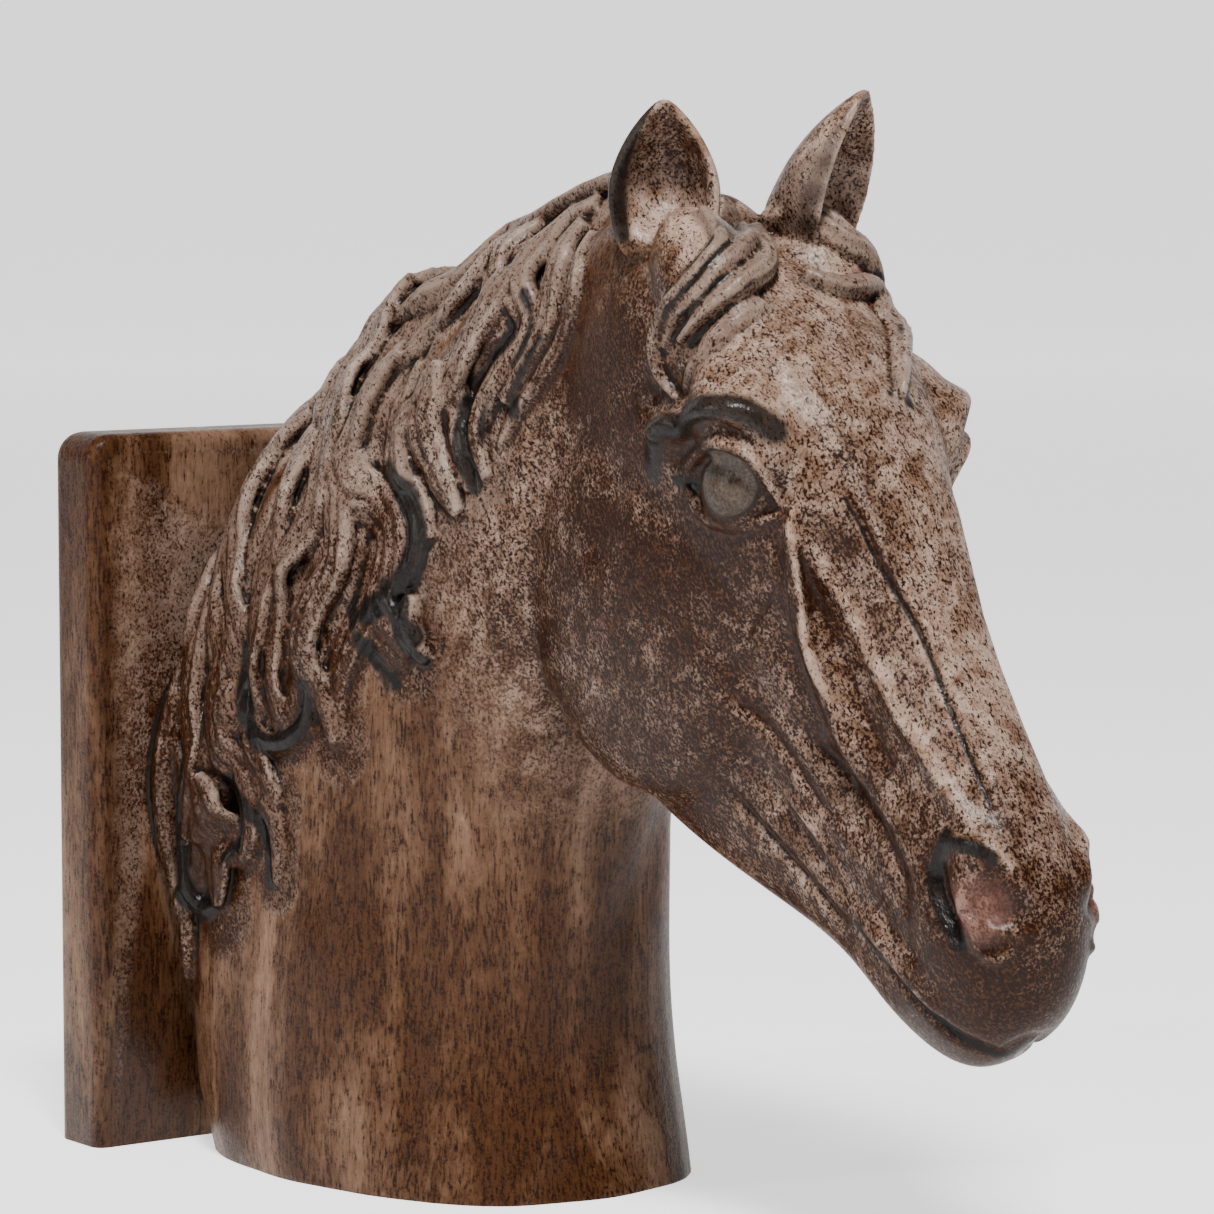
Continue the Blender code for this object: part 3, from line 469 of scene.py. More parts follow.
def neck_core():
    frame = neck_frame()
    rings = []
    for crest, throat, widths in NECK_ROWS:
        start = Vector((crest[0], 0, crest[1]))
        end = Vector((throat[0], 0, throat[1]))
        side = []
        for share, width in zip(NECK_SHARES, widths):
            between = start.lerp(end, share)
            side.append((between.x, width, between.z))
        rings.append([frame @ point for point in mirrored_ring(start, side, end)])
    return loft("neck core", rings, 2)


def ball(name, shape):
    """A ball of radius 1, placed and stretched by the matrix."""
    mesh = bmesh.new()
    bmesh.ops.create_uvsphere(mesh, u_segments=32, v_segments=20, radius=1, matrix=shape)
    return mesh_from(mesh, name)


def head_ball(place, radii, tilt):
    """An ellipsoid at a place of the head, with its radii along the head's axes."""
    turned = Matrix.Rotation(math.radians(tilt), 4, "Y")
    shape = Matrix.Translation(place) @ turned @ Matrix.Diagonal((*radii, 1))
    return ball("mass", head_frame() @ shape)


def masses():
    """The closed forms that the head and the neck are built up from."""
    made = [head_core(), neck_core()]
    for place, radii, tilt in HEAD_MASSES:
        for side in BOTH:
            made.append(head_ball((place[0], side * place[1], place[2]), radii, tilt))
    return made + [head_ball(*row) for row in MIDDLE_MASSES]


def melted(name, meshes, voxel, smoothing):
    """Closed meshes melted into one skin, then smoothed."""
    joined = bmesh.new()
    for mesh in meshes:
        joined.from_mesh(mesh)
    made = object_from(mesh_from(joined, name), name)
    melt = made.modifiers.new("Melt", "REMESH")
    melt.mode = "VOXEL"
    melt.voxel_size = voxel
    smooth = made.modifiers.new("Smooth", "SMOOTH")
    smooth.factor = 0.5
    smooth.iterations = smoothing
    return baked(made)


def skin_of(mesh):
    """A tree to cast rays on."""
    reader = bmesh.new()
    reader.from_mesh(mesh)
    tree = BVHTree.FromBMesh(reader)
    reader.free()
    return tree


def curve_through(stops, count):
    """Places on a smooth curve through the stops."""
    stops = [Vector(stop) for stop in stops]
    ends = [stops[0] * 2 - stops[1], *stops, stops[-1] * 2 - stops[-2]]
    places = []
    for k in range(count):
        along = k / (count - 1) * (len(stops) - 1)
        first = min(int(along), len(stops) - 2)
        t = along - first
        a, b, c, d = ends[first : first + 4]
        bend = (c - a) * t + (a * 2 - b * 5 + c * 4 - d) * t**2 + (b * 3 - a - c * 3 + d) * t**3
        places.append(b + bend / 2)
    return places


def falling(root, length, ways, count):
    """Places on a lock that leaves its root and turns as it goes: one way for each equal step."""
    stops = [Vector(root)]
    for way in ways:
        angle = math.radians(way)
        step = Vector((math.cos(angle), math.sin(angle))) * length / len(ways)
        stops.append(stops[-1] + step)
    return curve_through(stops, count)


def on_head(skin, x, turn, side):
    """The skin's place and normal round the head from the forehead, towards the side given."""
    angle = math.radians(turn)
    outward = Vector((0, side * math.sin(angle), math.cos(angle)))
    core = head_frame() @ Vector((x, 0, CORE_Z))
    start = head_frame() @ (Vector((x, 0, CORE_Z)) + outward)
    place, normal, _, _ = skin.ray_cast(start, core - start)
    if place is None:
        place, normal, _, _ = skin.find_nearest(core)
    return place, normal


def on_neck(skin, x, z, side):
    """The skin's place and normal where a level line from the side given meets the neck."""
    start = neck_frame() @ Vector((x, side * 3, z))
    place, normal, _, _ = skin.ray_cast(start, Vector((0, -side, 0)))
    if place is None:
        place, normal, _, _ = skin.find_nearest(neck_frame() @ Vector((x, side * 0.1, z)))
    return place, normal


def evened(path):
    """A draped path with its jumps smoothed out, as places and unit normals."""
    places = [place for place, _ in path]
    normals = [normal for _, normal in path]
    for _ in range(6):
        for row in (places, normals):
            middle = [(a + b * 2 + c) / 4 for a, b, c in zip(row, row[1:], row[2:])]
            row[1:-1] = middle
    return [(place, normal.normalized()) for place, normal in zip(places, normals)]


def draped_on_head(skin, stops, side, count):
    return evened([on_head(skin, x, turn, side) for x, turn in curve_through(stops, count)])


def draped_on_neck(skin, stops, side, count):
    return evened([on_neck(skin, x, z, side) for x, z in curve_through(stops, count)])


def modelled(mesh, strokes):
    """Raises the skin along each path, or sinks it where the rise is negative."""
    points, normals = points_of(mesh)
    shift = np.zeros_like(points)
    for path, half_width, rise in strokes:
        track = track_of(path)
        reach = 2.5 * half_width
        inside = (points > track.min(0) - reach) & (points < track.max(0) + reach)
        near = np.flatnonzero(inside.all(axis=1))
        gap = np.full(len(near), reach)
        share = np.zeros(len(near))
        for k, place in enumerate(track):
            distance = np.linalg.norm(points[near] - place, axis=1)
            closer = distance < gap
            gap[closer] = distance[closer]
            share[closer] = k / (len(track) - 1)
        fade = np.minimum(1, 4 * np.minimum(share, 1 - share) + 0.15)
        lift = rise * fade * np.exp(-((gap / half_width) ** 2))
        shift[near] += normals[near] * lift[:, None]
    mesh.vertices.foreach_set("co", (points + shift).ravel())
    mesh.update()
    return mesh


def on_sides(skin, rows, draped, count, sides=BOTH):
    """Each row's path, draped over each side, and its half width and rise in metres."""
    made = []
    for stops, half_width, rise in rows:
        for side in sides:
            path = draped(skin, stops, side, count)
            made.append((path, half_width * HEAD_LENGTH, rise * HEAD_LENGTH))
    return made


def ribbon(name, path, half_width, height, tilt=0):
    """A flat-topped band along a draped path, drawn out to its tip. The tilt lifts one of its edges."""
    rings = []
    last = len(path) - 1
    for k, (place, normal) in enumerate(path):
        before, after = path[max(k - 1, 0)][0], path[min(k + 1, last)][0]
        ahead = (after - before).normalized()
        across = ahead.cross(normal).normalized()
        out = across.cross(ahead).normalized()
        across, out = (
            across * math.cos(tilt) - out * math.sin(tilt),
            out * math.cos(tilt) + across * math.sin(tilt),
        )
        share = k / last
        taper = min(1, 0.5 + 2.5 * share) * (1 - 0.75 * share**4)
        ring = []
        for j in range(BAND_SIDES):
            angle = 2 * math.pi * j / BAND_SIDES
            aside = across * math.cos(angle) * half_width * taper
            bulge = math.copysign(abs(math.sin(angle)) ** 0.7, math.sin(angle))
            strands = STRAND_DEPTH * math.cos(STRANDS * math.pi * math.cos(angle) + 5 * share)
            up = out * bulge * height * (0.35 + 0.65 * taper) * (1 + strands)
            ring.append(place + aside + up)
        rings.append(ring)
    return loft(name, rings, 0)


def mane_paths(skin):
    """Each lock's draped path and half width: the right side's, then the left side's."""
    made = []
    for side, locks, share in ((RIGHT, MANE_LOCKS, 1), (LEFT, MANE_LOCKS[::2], LEFT_LOCK_SHARE)):
        for root, length, ways, half_width in locks:
            line = falling(root, length * share, ways, LOCK_PLACES)
            path = evened([on_neck(skin, x, z, side) for x, z in line])
            made.append((path, half_width * LOCK_SPREAD * HEAD_LENGTH))
    return made


def rolls():
    """Each roll's path and half width."""
    made = []
    for outward, stops, half_width, _ in ROLLS:
        line = curve_through(stops, SHORT_PLACES)
        path = [(neck_frame() @ place, Vector(outward)) for place in line]
        made.append((path, half_width * HEAD_LENGTH))
    return made


def mane(skin):
    """Every third lock lies lowest, the next two each a layer higher."""
    made = []
    for number, (path, half_width) in enumerate(mane_paths(skin)):
        tilt = LOCK_TILT if number < len(MANE_LOCKS) else -LOCK_TILT
        lift = LOCK_LAYER * (number % 3)
        raised = [(place + normal * lift, normal) for place, normal in path]
        made.append(ribbon("lock", raised, half_width, LOCK_HEIGHT, tilt))
    for (path, half_width), row in zip(rolls(), ROLLS):
        made.append(ribbon("roll", path, half_width, row[3] * HEAD_LENGTH))
    return made


def forelock_paths(skin):
    return on_sides(skin, FORELOCKS, draped_on_head, LOCK_PLACES, (RIGHT,))


def eyeballs(skin):
    made = []
    for side in BOTH:
        place, normal = on_head(skin, *EYE_PLACE, side)
        middle = place - normal * EYEBALL_RADIUS * (1 - EYE_BULGE)
        made.append(ball("eyeball", Matrix.Translation(middle) @ Matrix.Scale(EYEBALL_RADIUS, 4)))
    return made


def ear(side, root, way, facing, size):
    """A cupped leaf: rings of a thick rim that is closed behind and open in front."""
    place = POLL + Vector(root) * HEAD_LENGTH
    upward = Vector(way).normalized()
    opening = Vector(facing)
    opening = (opening - upward * opening.dot(upward)).normalized()
    across = upward.cross(opening)
    rings = []
    for share, width, hollow, depth in EAR_STATIONS:
        middle = place + upward * EAR_LENGTH * size * share
        outer = EAR_WIDTH / 2 * size * width
        inner = max(outer - EAR_WALL, outer * 0.2)
        ring = []
        for k in range(13):
            angle = math.radians(-105 + 210 * k / 12)
            back = -opening * math.cos(angle) * outer * depth
            ring.append(middle + across * math.sin(angle) * outer + back)
        for k in range(11):
            angle = math.radians(88 - 176 * k / 10)
            back = -opening * math.cos(angle) * (outer * depth - EAR_WALL)
            front = opening * outer * 0.35 * math.cos(angle)
            ring.append(middle + across * math.sin(angle) * inner + front.lerp(back, hollow))
        rings.append(ring)
    return loft("ear", rings, 2)


def slimmed(mesh, triangles):
    """The mesh with about so many triangles."""
    made = object_from(mesh, "slimmed")
    slim = made.modifiers.new("Slim", "DECIMATE")
    slim.ratio = triangles / (2 * len(mesh.polygons))
    slim.use_collapse_triangulate = True
    return baked(made)


def slab():
    """An upright plate with rounded top corners and worn edges, running on below the underside."""
    mesh = bmesh.new()
    foot = SLAB_EDGE_RADIUS * 3
    size = Matrix.Diagonal((SLAB_THICKNESS, SLAB_WIDTH, SLAB_HEIGHT + foot, 1))
    middle = Vector((SLAB_BACK_X + SLAB_THICKNESS / 2, 0, (SLAB_HEIGHT - foot) / 2))
    bmesh.ops.create_cube(mesh, size=1, matrix=Matrix.Translation(middle) @ size)
    corners = [
        edge
        for edge in mesh.edges
        if min(vert.co.z for vert in edge.verts) > SLAB_HEIGHT / 2
        and abs(edge.verts[0].co.x - edge.verts[1].co.x) > SLAB_THICKNESS / 2
    ]
    bmesh.ops.bevel(
        mesh, geom=corners, offset=SLAB_CORNER_RADIUS, segments=8, profile=0.5, affect="EDGES"
    )
    sharp = [edge for edge in mesh.edges if edge.calc_face_angle() > math.radians(40)]
    bmesh.ops.bevel(
        mesh, geom=sharp, offset=SLAB_EDGE_RADIUS, segments=3, profile=0.5, affect="EDGES"
    )
    return mesh_from(mesh, "slab")


def points_of(mesh):
    """The vertices' places and normals as arrays."""
    count = len(mesh.vertices)
    points = np.empty(count * 3, np.float32)
    mesh.vertices.foreach_get("co", points)
    normals = np.empty(count * 3, np.float32)
    mesh.vertices.foreach_get("normal", normals)
    return points.reshape(-1, 3), normals.reshape(-1, 3)


def corners_of(mesh):
    """The three vertex numbers of each face."""
    corners = np.empty(len(mesh.loops), np.int32)
    mesh.loops.foreach_get("vertex_index", corners)
    return corners.reshape(-1, 3)


def spread(values, edges, times):
    """The values averaged with those of the neighbouring vertices, so many times."""
    a, b = edges.T
    count = len(values)
    share = np.bincount(a, minlength=count) + np.bincount(b, minlength=count)
    for _ in range(times):
        total = np.bincount(a, values[b], count) + np.bincount(b, values[a], count)
        values = (values + total / share) / 2
    return values


def hollowness(mesh, times):
    """How deep each vertex lies below its surroundings, in metres; ridges are below zero."""
    points, normals = points_of(mesh)
    edges = np.empty(len(mesh.edges) * 2, np.int32)
    mesh.edges.foreach_get("vertices", edges)
    edges = edges.reshape(-1, 2)
    around = np.stack([spread(points[:, k].astype(float), edges, times) for k in range(3)], 1)
    return ((around - points) * normals).sum(axis=1)


def near_path(points, places, half_width, edge):
    """1 within the half width of the path, falling to 0 over the edge, a share of the half width."""
    mask = np.zeros(len(points))
    reach = (1 + edge) * half_width
    low, high = places.min(0) - reach, places.max(0) + reach
    near = np.flatnonzero(((points > low) & (points < high)).all(axis=1))
    gap = np.full(len(near), reach)
    for place in places:
        gap = np.minimum(gap, np.linalg.norm(points[near] - place, axis=1))
    mask[near] = np.clip((1 + edge - gap / half_width) / edge, 0, 1)
    return mask


def track_of(path):
    return np.array([place for place, _ in path])


def moved_aside(path, distance):
    """The path's places as an array, moved aside by the distance."""
    last = len(path) - 1
    made = []
    for k, (place, normal) in enumerate(path):
        ahead = path[min(k + 1, last)][0] - path[max(k - 1, 0)][0]
        made.append(place + ahead.cross(normal).normalized() * distance)
    return np.array(made)


def smooth_step(values, low, high):
    share = np.clip((values - low) / (high - low), 0, 1)
    return share * share * (3 - 2 * share)


def head_shares(points):
    """The places as shares of the head's length, in the head's frame."""
    inward = np.array(head_frame().inverted())
    return points @ inward[:3, :3].T + inward[:3, 3]


def hair_mask(points, locks, tufts):
    mask = np.zeros(len(points))
    for path, half_width in locks + rolls() + tufts:
        mask = np.maximum(mask, near_path(points, track_of(path), half_width * 1.1, 0.3))
    return mask


def charcoal_mask(points, skin, locks, tufts):
    """Charcoal on whole lock ends, along some locks' edges, on the brow and round the nostril."""
    mask = np.zeros(len(points))
    for paths, rows, widened in ((locks, CHARCOAL_LOCKS, 1.15), (tufts, CHARCOAL_TUFTS, 1.1)):
        for number, start, aside, width in rows:
            path, half_width = paths[number]
            places = moved_aside(path, half_width * aside)[int(start * len(path)) :]
            mask = np.maximum(mask, near_path(points, places, half_width * width * widened, 0.8))
    for sides, stops, half_width, edge in CHARCOAL_LINES:
        for side in sides:
            places = track_of(draped_on_head(skin, stops, side, CHARCOAL_PLACES))
            mask = np.maximum(mask, near_path(points, places, half_width * HEAD_LENGTH, edge))
    return mask


def face_masks(points, skin):
    """The folds of the face that fill with glaze, and the ridges that are rubbed clean."""
    folds = np.zeros(len(points))
    ridges = np.zeros(len(points))
    for path, half_width, rise in on_sides(skin, FACE_LINES, draped_on_head, LINE_PLACES):
        mask = folds if rise < 0 else ridges
        np.maximum(mask, near_path(points, track_of(path), half_width * 0.4, 2.0), out=mask)
    return folds, ridges


def ear_masks(points):
    """Where the ears are, and their charcoal rims: broad on the shaded side and thin on the other."""
    ears = np.zeros(len(points))
    rims = np.zeros(len(points))
    shares = [row[0] for row in EAR_STATIONS]
    widths = [row[1] for row in EAR_STATIONS]
    for (_, root, way, facing, size), rim_start in zip(EARS, EAR_RIM_STARTS):
        foot = np.array(POLL + Vector(root) * HEAD_LENGTH)
        upward = np.array(Vector(way).normalized())
        across = np.cross(upward, np.array(Vector(facing).normalized()))
        across *= np.sign(across @ EAR_SHADED_WAY)
        up = (points - foot) @ upward
        along = up / (EAR_LENGTH * size)
        away = np.linalg.norm(points - foot - np.outer(up, upward), axis=1)
        inside = smooth_step(along, 0.05, 0.2) * (away < EAR_WIDTH * size * 0.8)
        aside = (points - foot) @ across / (EAR_WIDTH / 2 * size * np.interp(along, shares, widths))
        rim = smooth_step(aside, rim_start, rim_start + 0.2)
        rim = np.maximum(rim, smooth_step(-aside, 0.88, 1.02) * 0.7)
        ears = np.maximum(ears, inside)
        rims = np.maximum(rims, inside * rim)
    return ears, rims


def round_places(points, skin, place, radius, edge):
    """1 within the radius of the head's place on each side, falling to 0 over the edge."""
    middles = [on_head(skin, *place, side)[0] for side in BOTH]
    gap = np.min([np.linalg.norm(points - np.array(middle), axis=1) for middle in middles], axis=0)
    return 1 - smooth_step(gap, radius, radius + edge)


def paint(mesh, skin):
    """The masks that the glaze is mixed by, one value a vertex. Two of them hold painted light on faces
    turned up and painted shade in dark patches.
    """
    points, normals = points_of(mesh)
    head = head_shares(points)
    fine = hollowness(mesh, 6)
    broad = hollowness(mesh, 50)
    locks = mane_paths(skin)
    tufts = [row[:2] for row in forelock_paths(skin)]
    ears, rims = ear_masks(points)
    folds, ridges = face_masks(points, skin)
    above_neck = smooth_step(head[:, 2] + head[:, 0] * 0.15, -0.62, -0.42)
    # Dark patches on the head: partly gathered glaze, partly painted shade.
    glaze_and_shade_pool = np.zeros(len(points))
    for x, turn, radius, strength in GLAZE_AND_SHADE_POOLS:
        radius = radius * HEAD_LENGTH
        glaze_and_shade_pool = np.maximum(glaze_and_shade_pool, strength * round_places(points, skin, (x, turn), 0, radius * 1.6))
    hair = hair_mask(points, locks, tufts)
    # Painted shade with more glaze: the mane darkens lower down.
    low_down = 1 - smooth_step(points[:, 2], DARK_MANE_LOW, DARK_MANE_HIGH)
    glaze_and_shade_pool = np.maximum(glaze_and_shade_pool, hair * low_down * DARK_MANE)
    hollow = smooth_step(fine, *FINE_HOLLOW) * 0.8 + smooth_step(broad, *BROAD_HOLLOW)
    ridge = smooth_step(-fine, *FINE_RIDGE) + smooth_step(-broad, *BROAD_RIDGE)
    masks = {
        "hollow": hollow * (1 - ears * 0.8) + folds * 0.3,
        "ridge": ridge + ridges * 0.7,
        "hair": hair,
        "charcoal": np.maximum(charcoal_mask(points, skin, locks, tufts), rims),
        "eye": round_places(points, skin, EYE_PLACE, EYEBALL_RADIUS * 0.66, EYEBALL_RADIUS * 0.14),
        "pink": round_places(points, skin, NOSTRIL_PLACE, NOSTRIL_RADIUS * 0.5, NOSTRIL_RADIUS * 0.5),
        "head": np.maximum(above_neck * smooth_step(head[:, 0], -0.02, 0.10), ears),
        # Painted light: faces turned up and forwards lose brown and look lit.
        "painted_top_light": smooth_step(normals @ PAINTED_LIGHT_WAY, -0.35, 0.85),
        "glaze_and_shade_pool": glaze_and_shade_pool - ears * 0.2,
    }
    for name, values in masks.items():
        layer = mesh.attributes.new(name, "FLOAT", "POINT")
        layer.data.foreach_set("value", values.astype(np.float32))


class Finish:
    """A material's nodes, wired one by one."""

    def __init__(self, name):
        self.material = bpy.data.materials.new(name)
        self.material.use_nodes = True
        self.tree = self.material.node_tree
        self.shader = self.tree.nodes["Principled BSDF"]

    def feed(self, socket, value):
        """Links a socket to another one, or sets it to a value."""
        if isinstance(value, bpy.types.NodeSocket):
            self.tree.links.new(value, socket)
        elif value is not None:
            socket.default_value = value

    def fill(self, node, values):
        """The node, with its inputs fed by name."""
        for name, value in values.items():
            self.feed(node.inputs[name], value)
        return node

    def add(self, kind, values):
        return self.fill(self.tree.nodes.new("ShaderNode" + kind), values)

    def mask(self, name):
        node = self.add("Attribute", {})
        node.attribute_name = name
        return node.outputs["Fac"]

    def place(self, stretch, turn=0.0):
        """Object coordinates, turned about Y and stretched along each axis."""
        where = self.add("TexCoord", {}).outputs["Object"]
        turned = self.add("Mapping", {"Vector": where, "Rotation": (0, turn, 0)})
        scaled = self.add("Mapping", {"Vector": turned.outputs["Vector"], "Scale": stretch})
        return scaled.outputs["Vector"]

    def noise(self, where, scale, detail, rough, warp):
        pattern = {"Scale": scale, "Detail": detail, "Roughness": rough, "Distortion": warp}
        return self.add("TexNoise", {"Vector": where, **pattern}).outputs["Fac"]

    def math(self, operation, a, b=None, c=None, clamp=False):
        node = self.add("Math", {})
        node.operation = operation
        node.use_clamp = clamp
        for socket, value in zip(node.inputs, (a, b, c)):
            self.feed(socket, value)
        return node.outputs["Value"]

    def ramp(self, value, low, high, to_low=0.0, to_high=1.0):
        ends = {"From Min": low, "From Max": high, "To Min": to_low, "To Max": to_high}
        return self.add("MapRange", {"Value": value, **ends}).outputs["Result"]

    def mix(self, share, a, b):
        node = self.add("Mix", {})
        node.data_type = "RGBA"
        for name, value in (("Factor", share), ("A", a), ("B", b)):
            socket = [s for s in node.inputs if s.name == name and s.enabled][0]
            if isinstance(value, tuple):
                value = (*value, 1)
            self.feed(socket, value)
        return [s for s in node.outputs if s.enabled][0]

    def bump(self, height, strength, distance, over=None):
        values = {"Height": height, "Strength": strength, "Distance": distance, "Normal": over}
        return self.add("Bump", values).outputs["Normal"]


def gathered(glaze, start, shares):
    """The start value and a share of each field, which counts from the middle given for it."""
    total = start
    for field, share, middle in shares:
        total = glaze.math("MULTIPLY_ADD", glaze.math("SUBTRACT", field, middle), share, total)
    return total


def washed(glaze, bare, darkening, grain):
    """A thin wash that browns the bare colour as the darkening value grows, and dark grains that thicken with
    it. On the head that value holds painted light and painted shade as well as the glaze.
    """
    wash = glaze.mix(glaze.ramp(darkening, 0.15, 1.00), bare, BROWN)
    grain_lift = glaze.ramp(darkening, 0.0, 1.1, 0.0, 0.26)
    grains = glaze.ramp(glaze.math("ADD", grain_lift, grain), 0.66, 0.82)
    return glaze.mix(grains, wash, UMBER)


def glazed_resin():
    """Taupe resin under a rubbed brown glaze, charcoal in the cuts, and clear varnish. On the head and mane
    the brown also carries painted light on faces turned up and painted shade in dark patches.
    """
    glaze = Finish("glazed resin")
    level = glaze.place((1, 1, 1))
    along_head = glaze.place((0.4, 1, 1), -HEAD_PITCH)
    upright = glaze.place((1, 1, 0.2))
    fibres = glaze.noise(along_head, 2100, 3, 0.62, 0.4)
    specks = glaze.noise(level, 1900, 3, 0.65, 0.3)
    clouds = glaze.noise(level, 45, 3, 0.55, 0.5)
    patches = glaze.noise(level, 240, 4, 0.6, 0.8)
    streaks = glaze.noise(upright, 1700, 4, 0.62, 0.3)
    runs = glaze.noise(upright, 60, 4, 0.55, 0.6)
    wavering = glaze.math("SUBTRACT", glaze.noise(along_head, 700, 2, 0.5, 0.6), 0.5)
    crackle = glaze.ramp(glaze.math("ABSOLUTE", wavering), 0.0, 0.030, 1.0, 0.0)
    worn = glaze.ramp(glaze.noise(level, 900, 4, 0.7, 0.4), 0.60, 0.70)
    hollow = glaze.mask("hollow")
    ridge = glaze.mask("ridge")
    hair = glaze.mask("hair")
    glaze_and_shade_pool = glaze.mask("glaze_and_shade_pool")
    head_film = ((specks, 0.9, 0.5), (patches, 0.9, 0.5), (clouds, 1.0, 0.5), (worn, -0.30, 0))
    # The head's brown also takes painted light on faces turned up and painted shade in the dark patches.
    head_form = ((hollow, 0.45, 0), (ridge, -0.28, 0), (glaze.mask("painted_top_light"), -0.40, 0), (glaze_and_shade_pool, 0.60, 0))
    on_head = gathered(glaze, 0.86, head_film + head_form)
    neck_film = ((streaks, 1.0, 0.5), (runs, 2.4, 0.5), (patches, 0.9, 0.5), (worn, -0.20, 0))
    on_neck = gathered(glaze, 0.84, (*neck_film, (hollow, 0.35, 0), (ridge, -0.20, 0)))
    fine_grain = ((fibres, 1.0, 0.5), (specks, 0.8, 0.5), (crackle, 0.12, 0), (hair, -0.05, 0))
    head_grain = gathered(glaze, 0.54, fine_grain)
    neck_grain = gathered(glaze, 0.45, ((streaks, 0.8, 0.5), (specks, 0.6, 0.5)))
    taupe = glaze.mix(glaze.ramp(patches, 0.40, 0.65), TAUPE, TAUPE_DARK)
    hair_taupe = glaze.mix(glaze.ramp(clouds, 0.42, 0.60), HAIR_DARK, HAIR_LIGHT)
    taupe = glaze.mix(hair, taupe, hair_taupe)
    tawny = glaze.mix(glaze.ramp(runs, 0.38, 0.58), TAUPE_DARK, GOLDEN)
    head_colour = washed(glaze, taupe, on_head, head_grain)
    neck_colour = washed(glaze, tawny, on_neck, neck_grain)
    like_head = glaze.math("MAXIMUM", glaze.mask("head"), hair)
    colour = glaze.mix(like_head, neck_colour, head_colour)
    cuts = glaze.ramp(glaze.math("MULTIPLY_ADD", specks, 0.3, hollow), 0.50, 1.00)
    cuts = glaze.math("MULTIPLY", cuts, glaze.math("MULTIPLY_ADD", hair, 0.65, 0.15))
    colour = glaze.mix(cuts, colour, CHARCOAL)
    chipped = glaze.math("MULTIPLY", glaze.mask("pink"), glaze.ramp(specks, 0.40, 0.60, 0.75, 0.35))
    colour = glaze.mix(chipped, colour, NOSTRIL_COLOUR)
    eye = glaze.mask("eye")
    mottled = glaze.math("MULTIPLY_ADD", patches, 0.7, glaze.math("MULTIPLY", specks, 0.8))
    eye_colour = glaze.mix(glaze.ramp(mottled, 0.60, 0.90), EYE_DARK, EYE_LIGHT)
    colour = glaze.mix(eye, colour, eye_colour)
    rim = glaze.math("MULTIPLY", glaze.math("MULTIPLY", eye, glaze.math("SUBTRACT", 1.0, eye)), 3.0)
    colour = glaze.mix(rim, colour, CHARCOAL)
    charcoal = glaze.mask("charcoal")
    smoky = glaze.ramp(glaze.math("MULTIPLY_ADD", specks, -0.9, charcoal), -0.10, 0.45)
    colour = glaze.mix(glaze.math("MULTIPLY", smoky, 0.92), colour, CHARCOAL)
    rough = glaze.ramp(specks, 0.3, 0.7, 0.34, 0.56)
    rough = glaze.math("MULTIPLY_ADD", charcoal, -0.14, rough)
    rough = glaze.math("MULTIPLY_ADD", eye, -0.12, rough, clamp=True)
    varnish = glaze.math("MULTIPLY_ADD", charcoal, 0.04, 0.14, clamp=True)
    normal = glaze.bump(glaze.math("ADD", specks, fibres), 0.35, 0.0002)
    normal = glaze.bump(patches, 0.30, 0.0005, normal)
    skin = {"Base Color": colour, "Roughness": rough, "Specular IOR Level": 0.05, "Normal": normal}
    coat = {"Coat Weight": varnish, "Coat Roughness": 0.08, "Coat Normal": normal}
    glaze.fill(glaze.shader, {**skin, **coat})
    return glaze.material


def split(mesh, owner, names):
    """The mesh's faces as one mesh for each name, with the masks and the whole skin's normals."""
    points, normals = points_of(mesh)
    corners = corners_of(mesh)
    made = []
    for number, name in enumerate(names):
        faces = corners[owner == number]
        used, index = np.unique(faces, return_inverse=True)
        part = bpy.data.meshes.new(name)
        part.vertices.add(len(used))
        part.vertices.foreach_set("co", points[used].ravel())
        part.loops.add(faces.size)
        part.loops.foreach_set("vertex_index", index.ravel().astype(np.int32))
        part.polygons.add(len(faces))
        part.polygons.foreach_set("loop_start", np.arange(0, faces.size, 3, dtype=np.int32))
        part.update(calc_edges=True)
        for layer in mesh.attributes:
            if layer.name in MASKS:
                copy = part.attributes.new(layer.name, "FLOAT", "POINT")
                copy.data.foreach_set("value", mask_of(mesh, layer.name)[used])
        part.shade_smooth()
        part.normals_split_custom_set_from_vertices(normals[used])
        made.append(part)
    return made


def trimmed(mesh, low):
    """The closed mesh cut off flat at the height given, with the cut filled."""
    reader = bmesh.new()
    reader.from_mesh(mesh)
    everything = reader.verts[:] + reader.edges[:] + reader.faces[:]
    cut = bmesh.ops.bisect_plane(
        reader, geom=everything, plane_co=(0, 0, low), plane_no=(0, 0, -1), clear_outer=True
    )
    edges = [part for part in cut["geom_cut"] if isinstance(part, bmesh.types.BMEdge)]
    bmesh.ops.triangle_fill(reader, edges=edges, use_beauty=True)
    bmesh.ops.triangulate(reader, faces=[face for face in reader.faces if len(face.verts) > 3])
    bmesh.ops.recalc_face_normals(reader, faces=reader.faces)
    reader.to_mesh(mesh)
    reader.free()
    return mesh


def mask_of(mesh, name):
    values = np.empty(len(mesh.vertices), np.float32)
    mesh.attributes[name].data.foreach_get("value", values)
    return values


def owners(mesh):
    """The number of each face's piece, in the order of PIECES."""
    corners = corners_of(mesh)
    points, _ = points_of(mesh)
    hair = mask_of(mesh, "hair")[corners].mean(axis=1) > 0.3
    right = points[corners, 1].mean(axis=1) < 0
    head = mask_of(mesh, "head")[corners].mean(axis=1) > 0.5
    side = np.where(right, 0, 1)
    return np.where(head, side, np.where(hair, side + 2, 4))


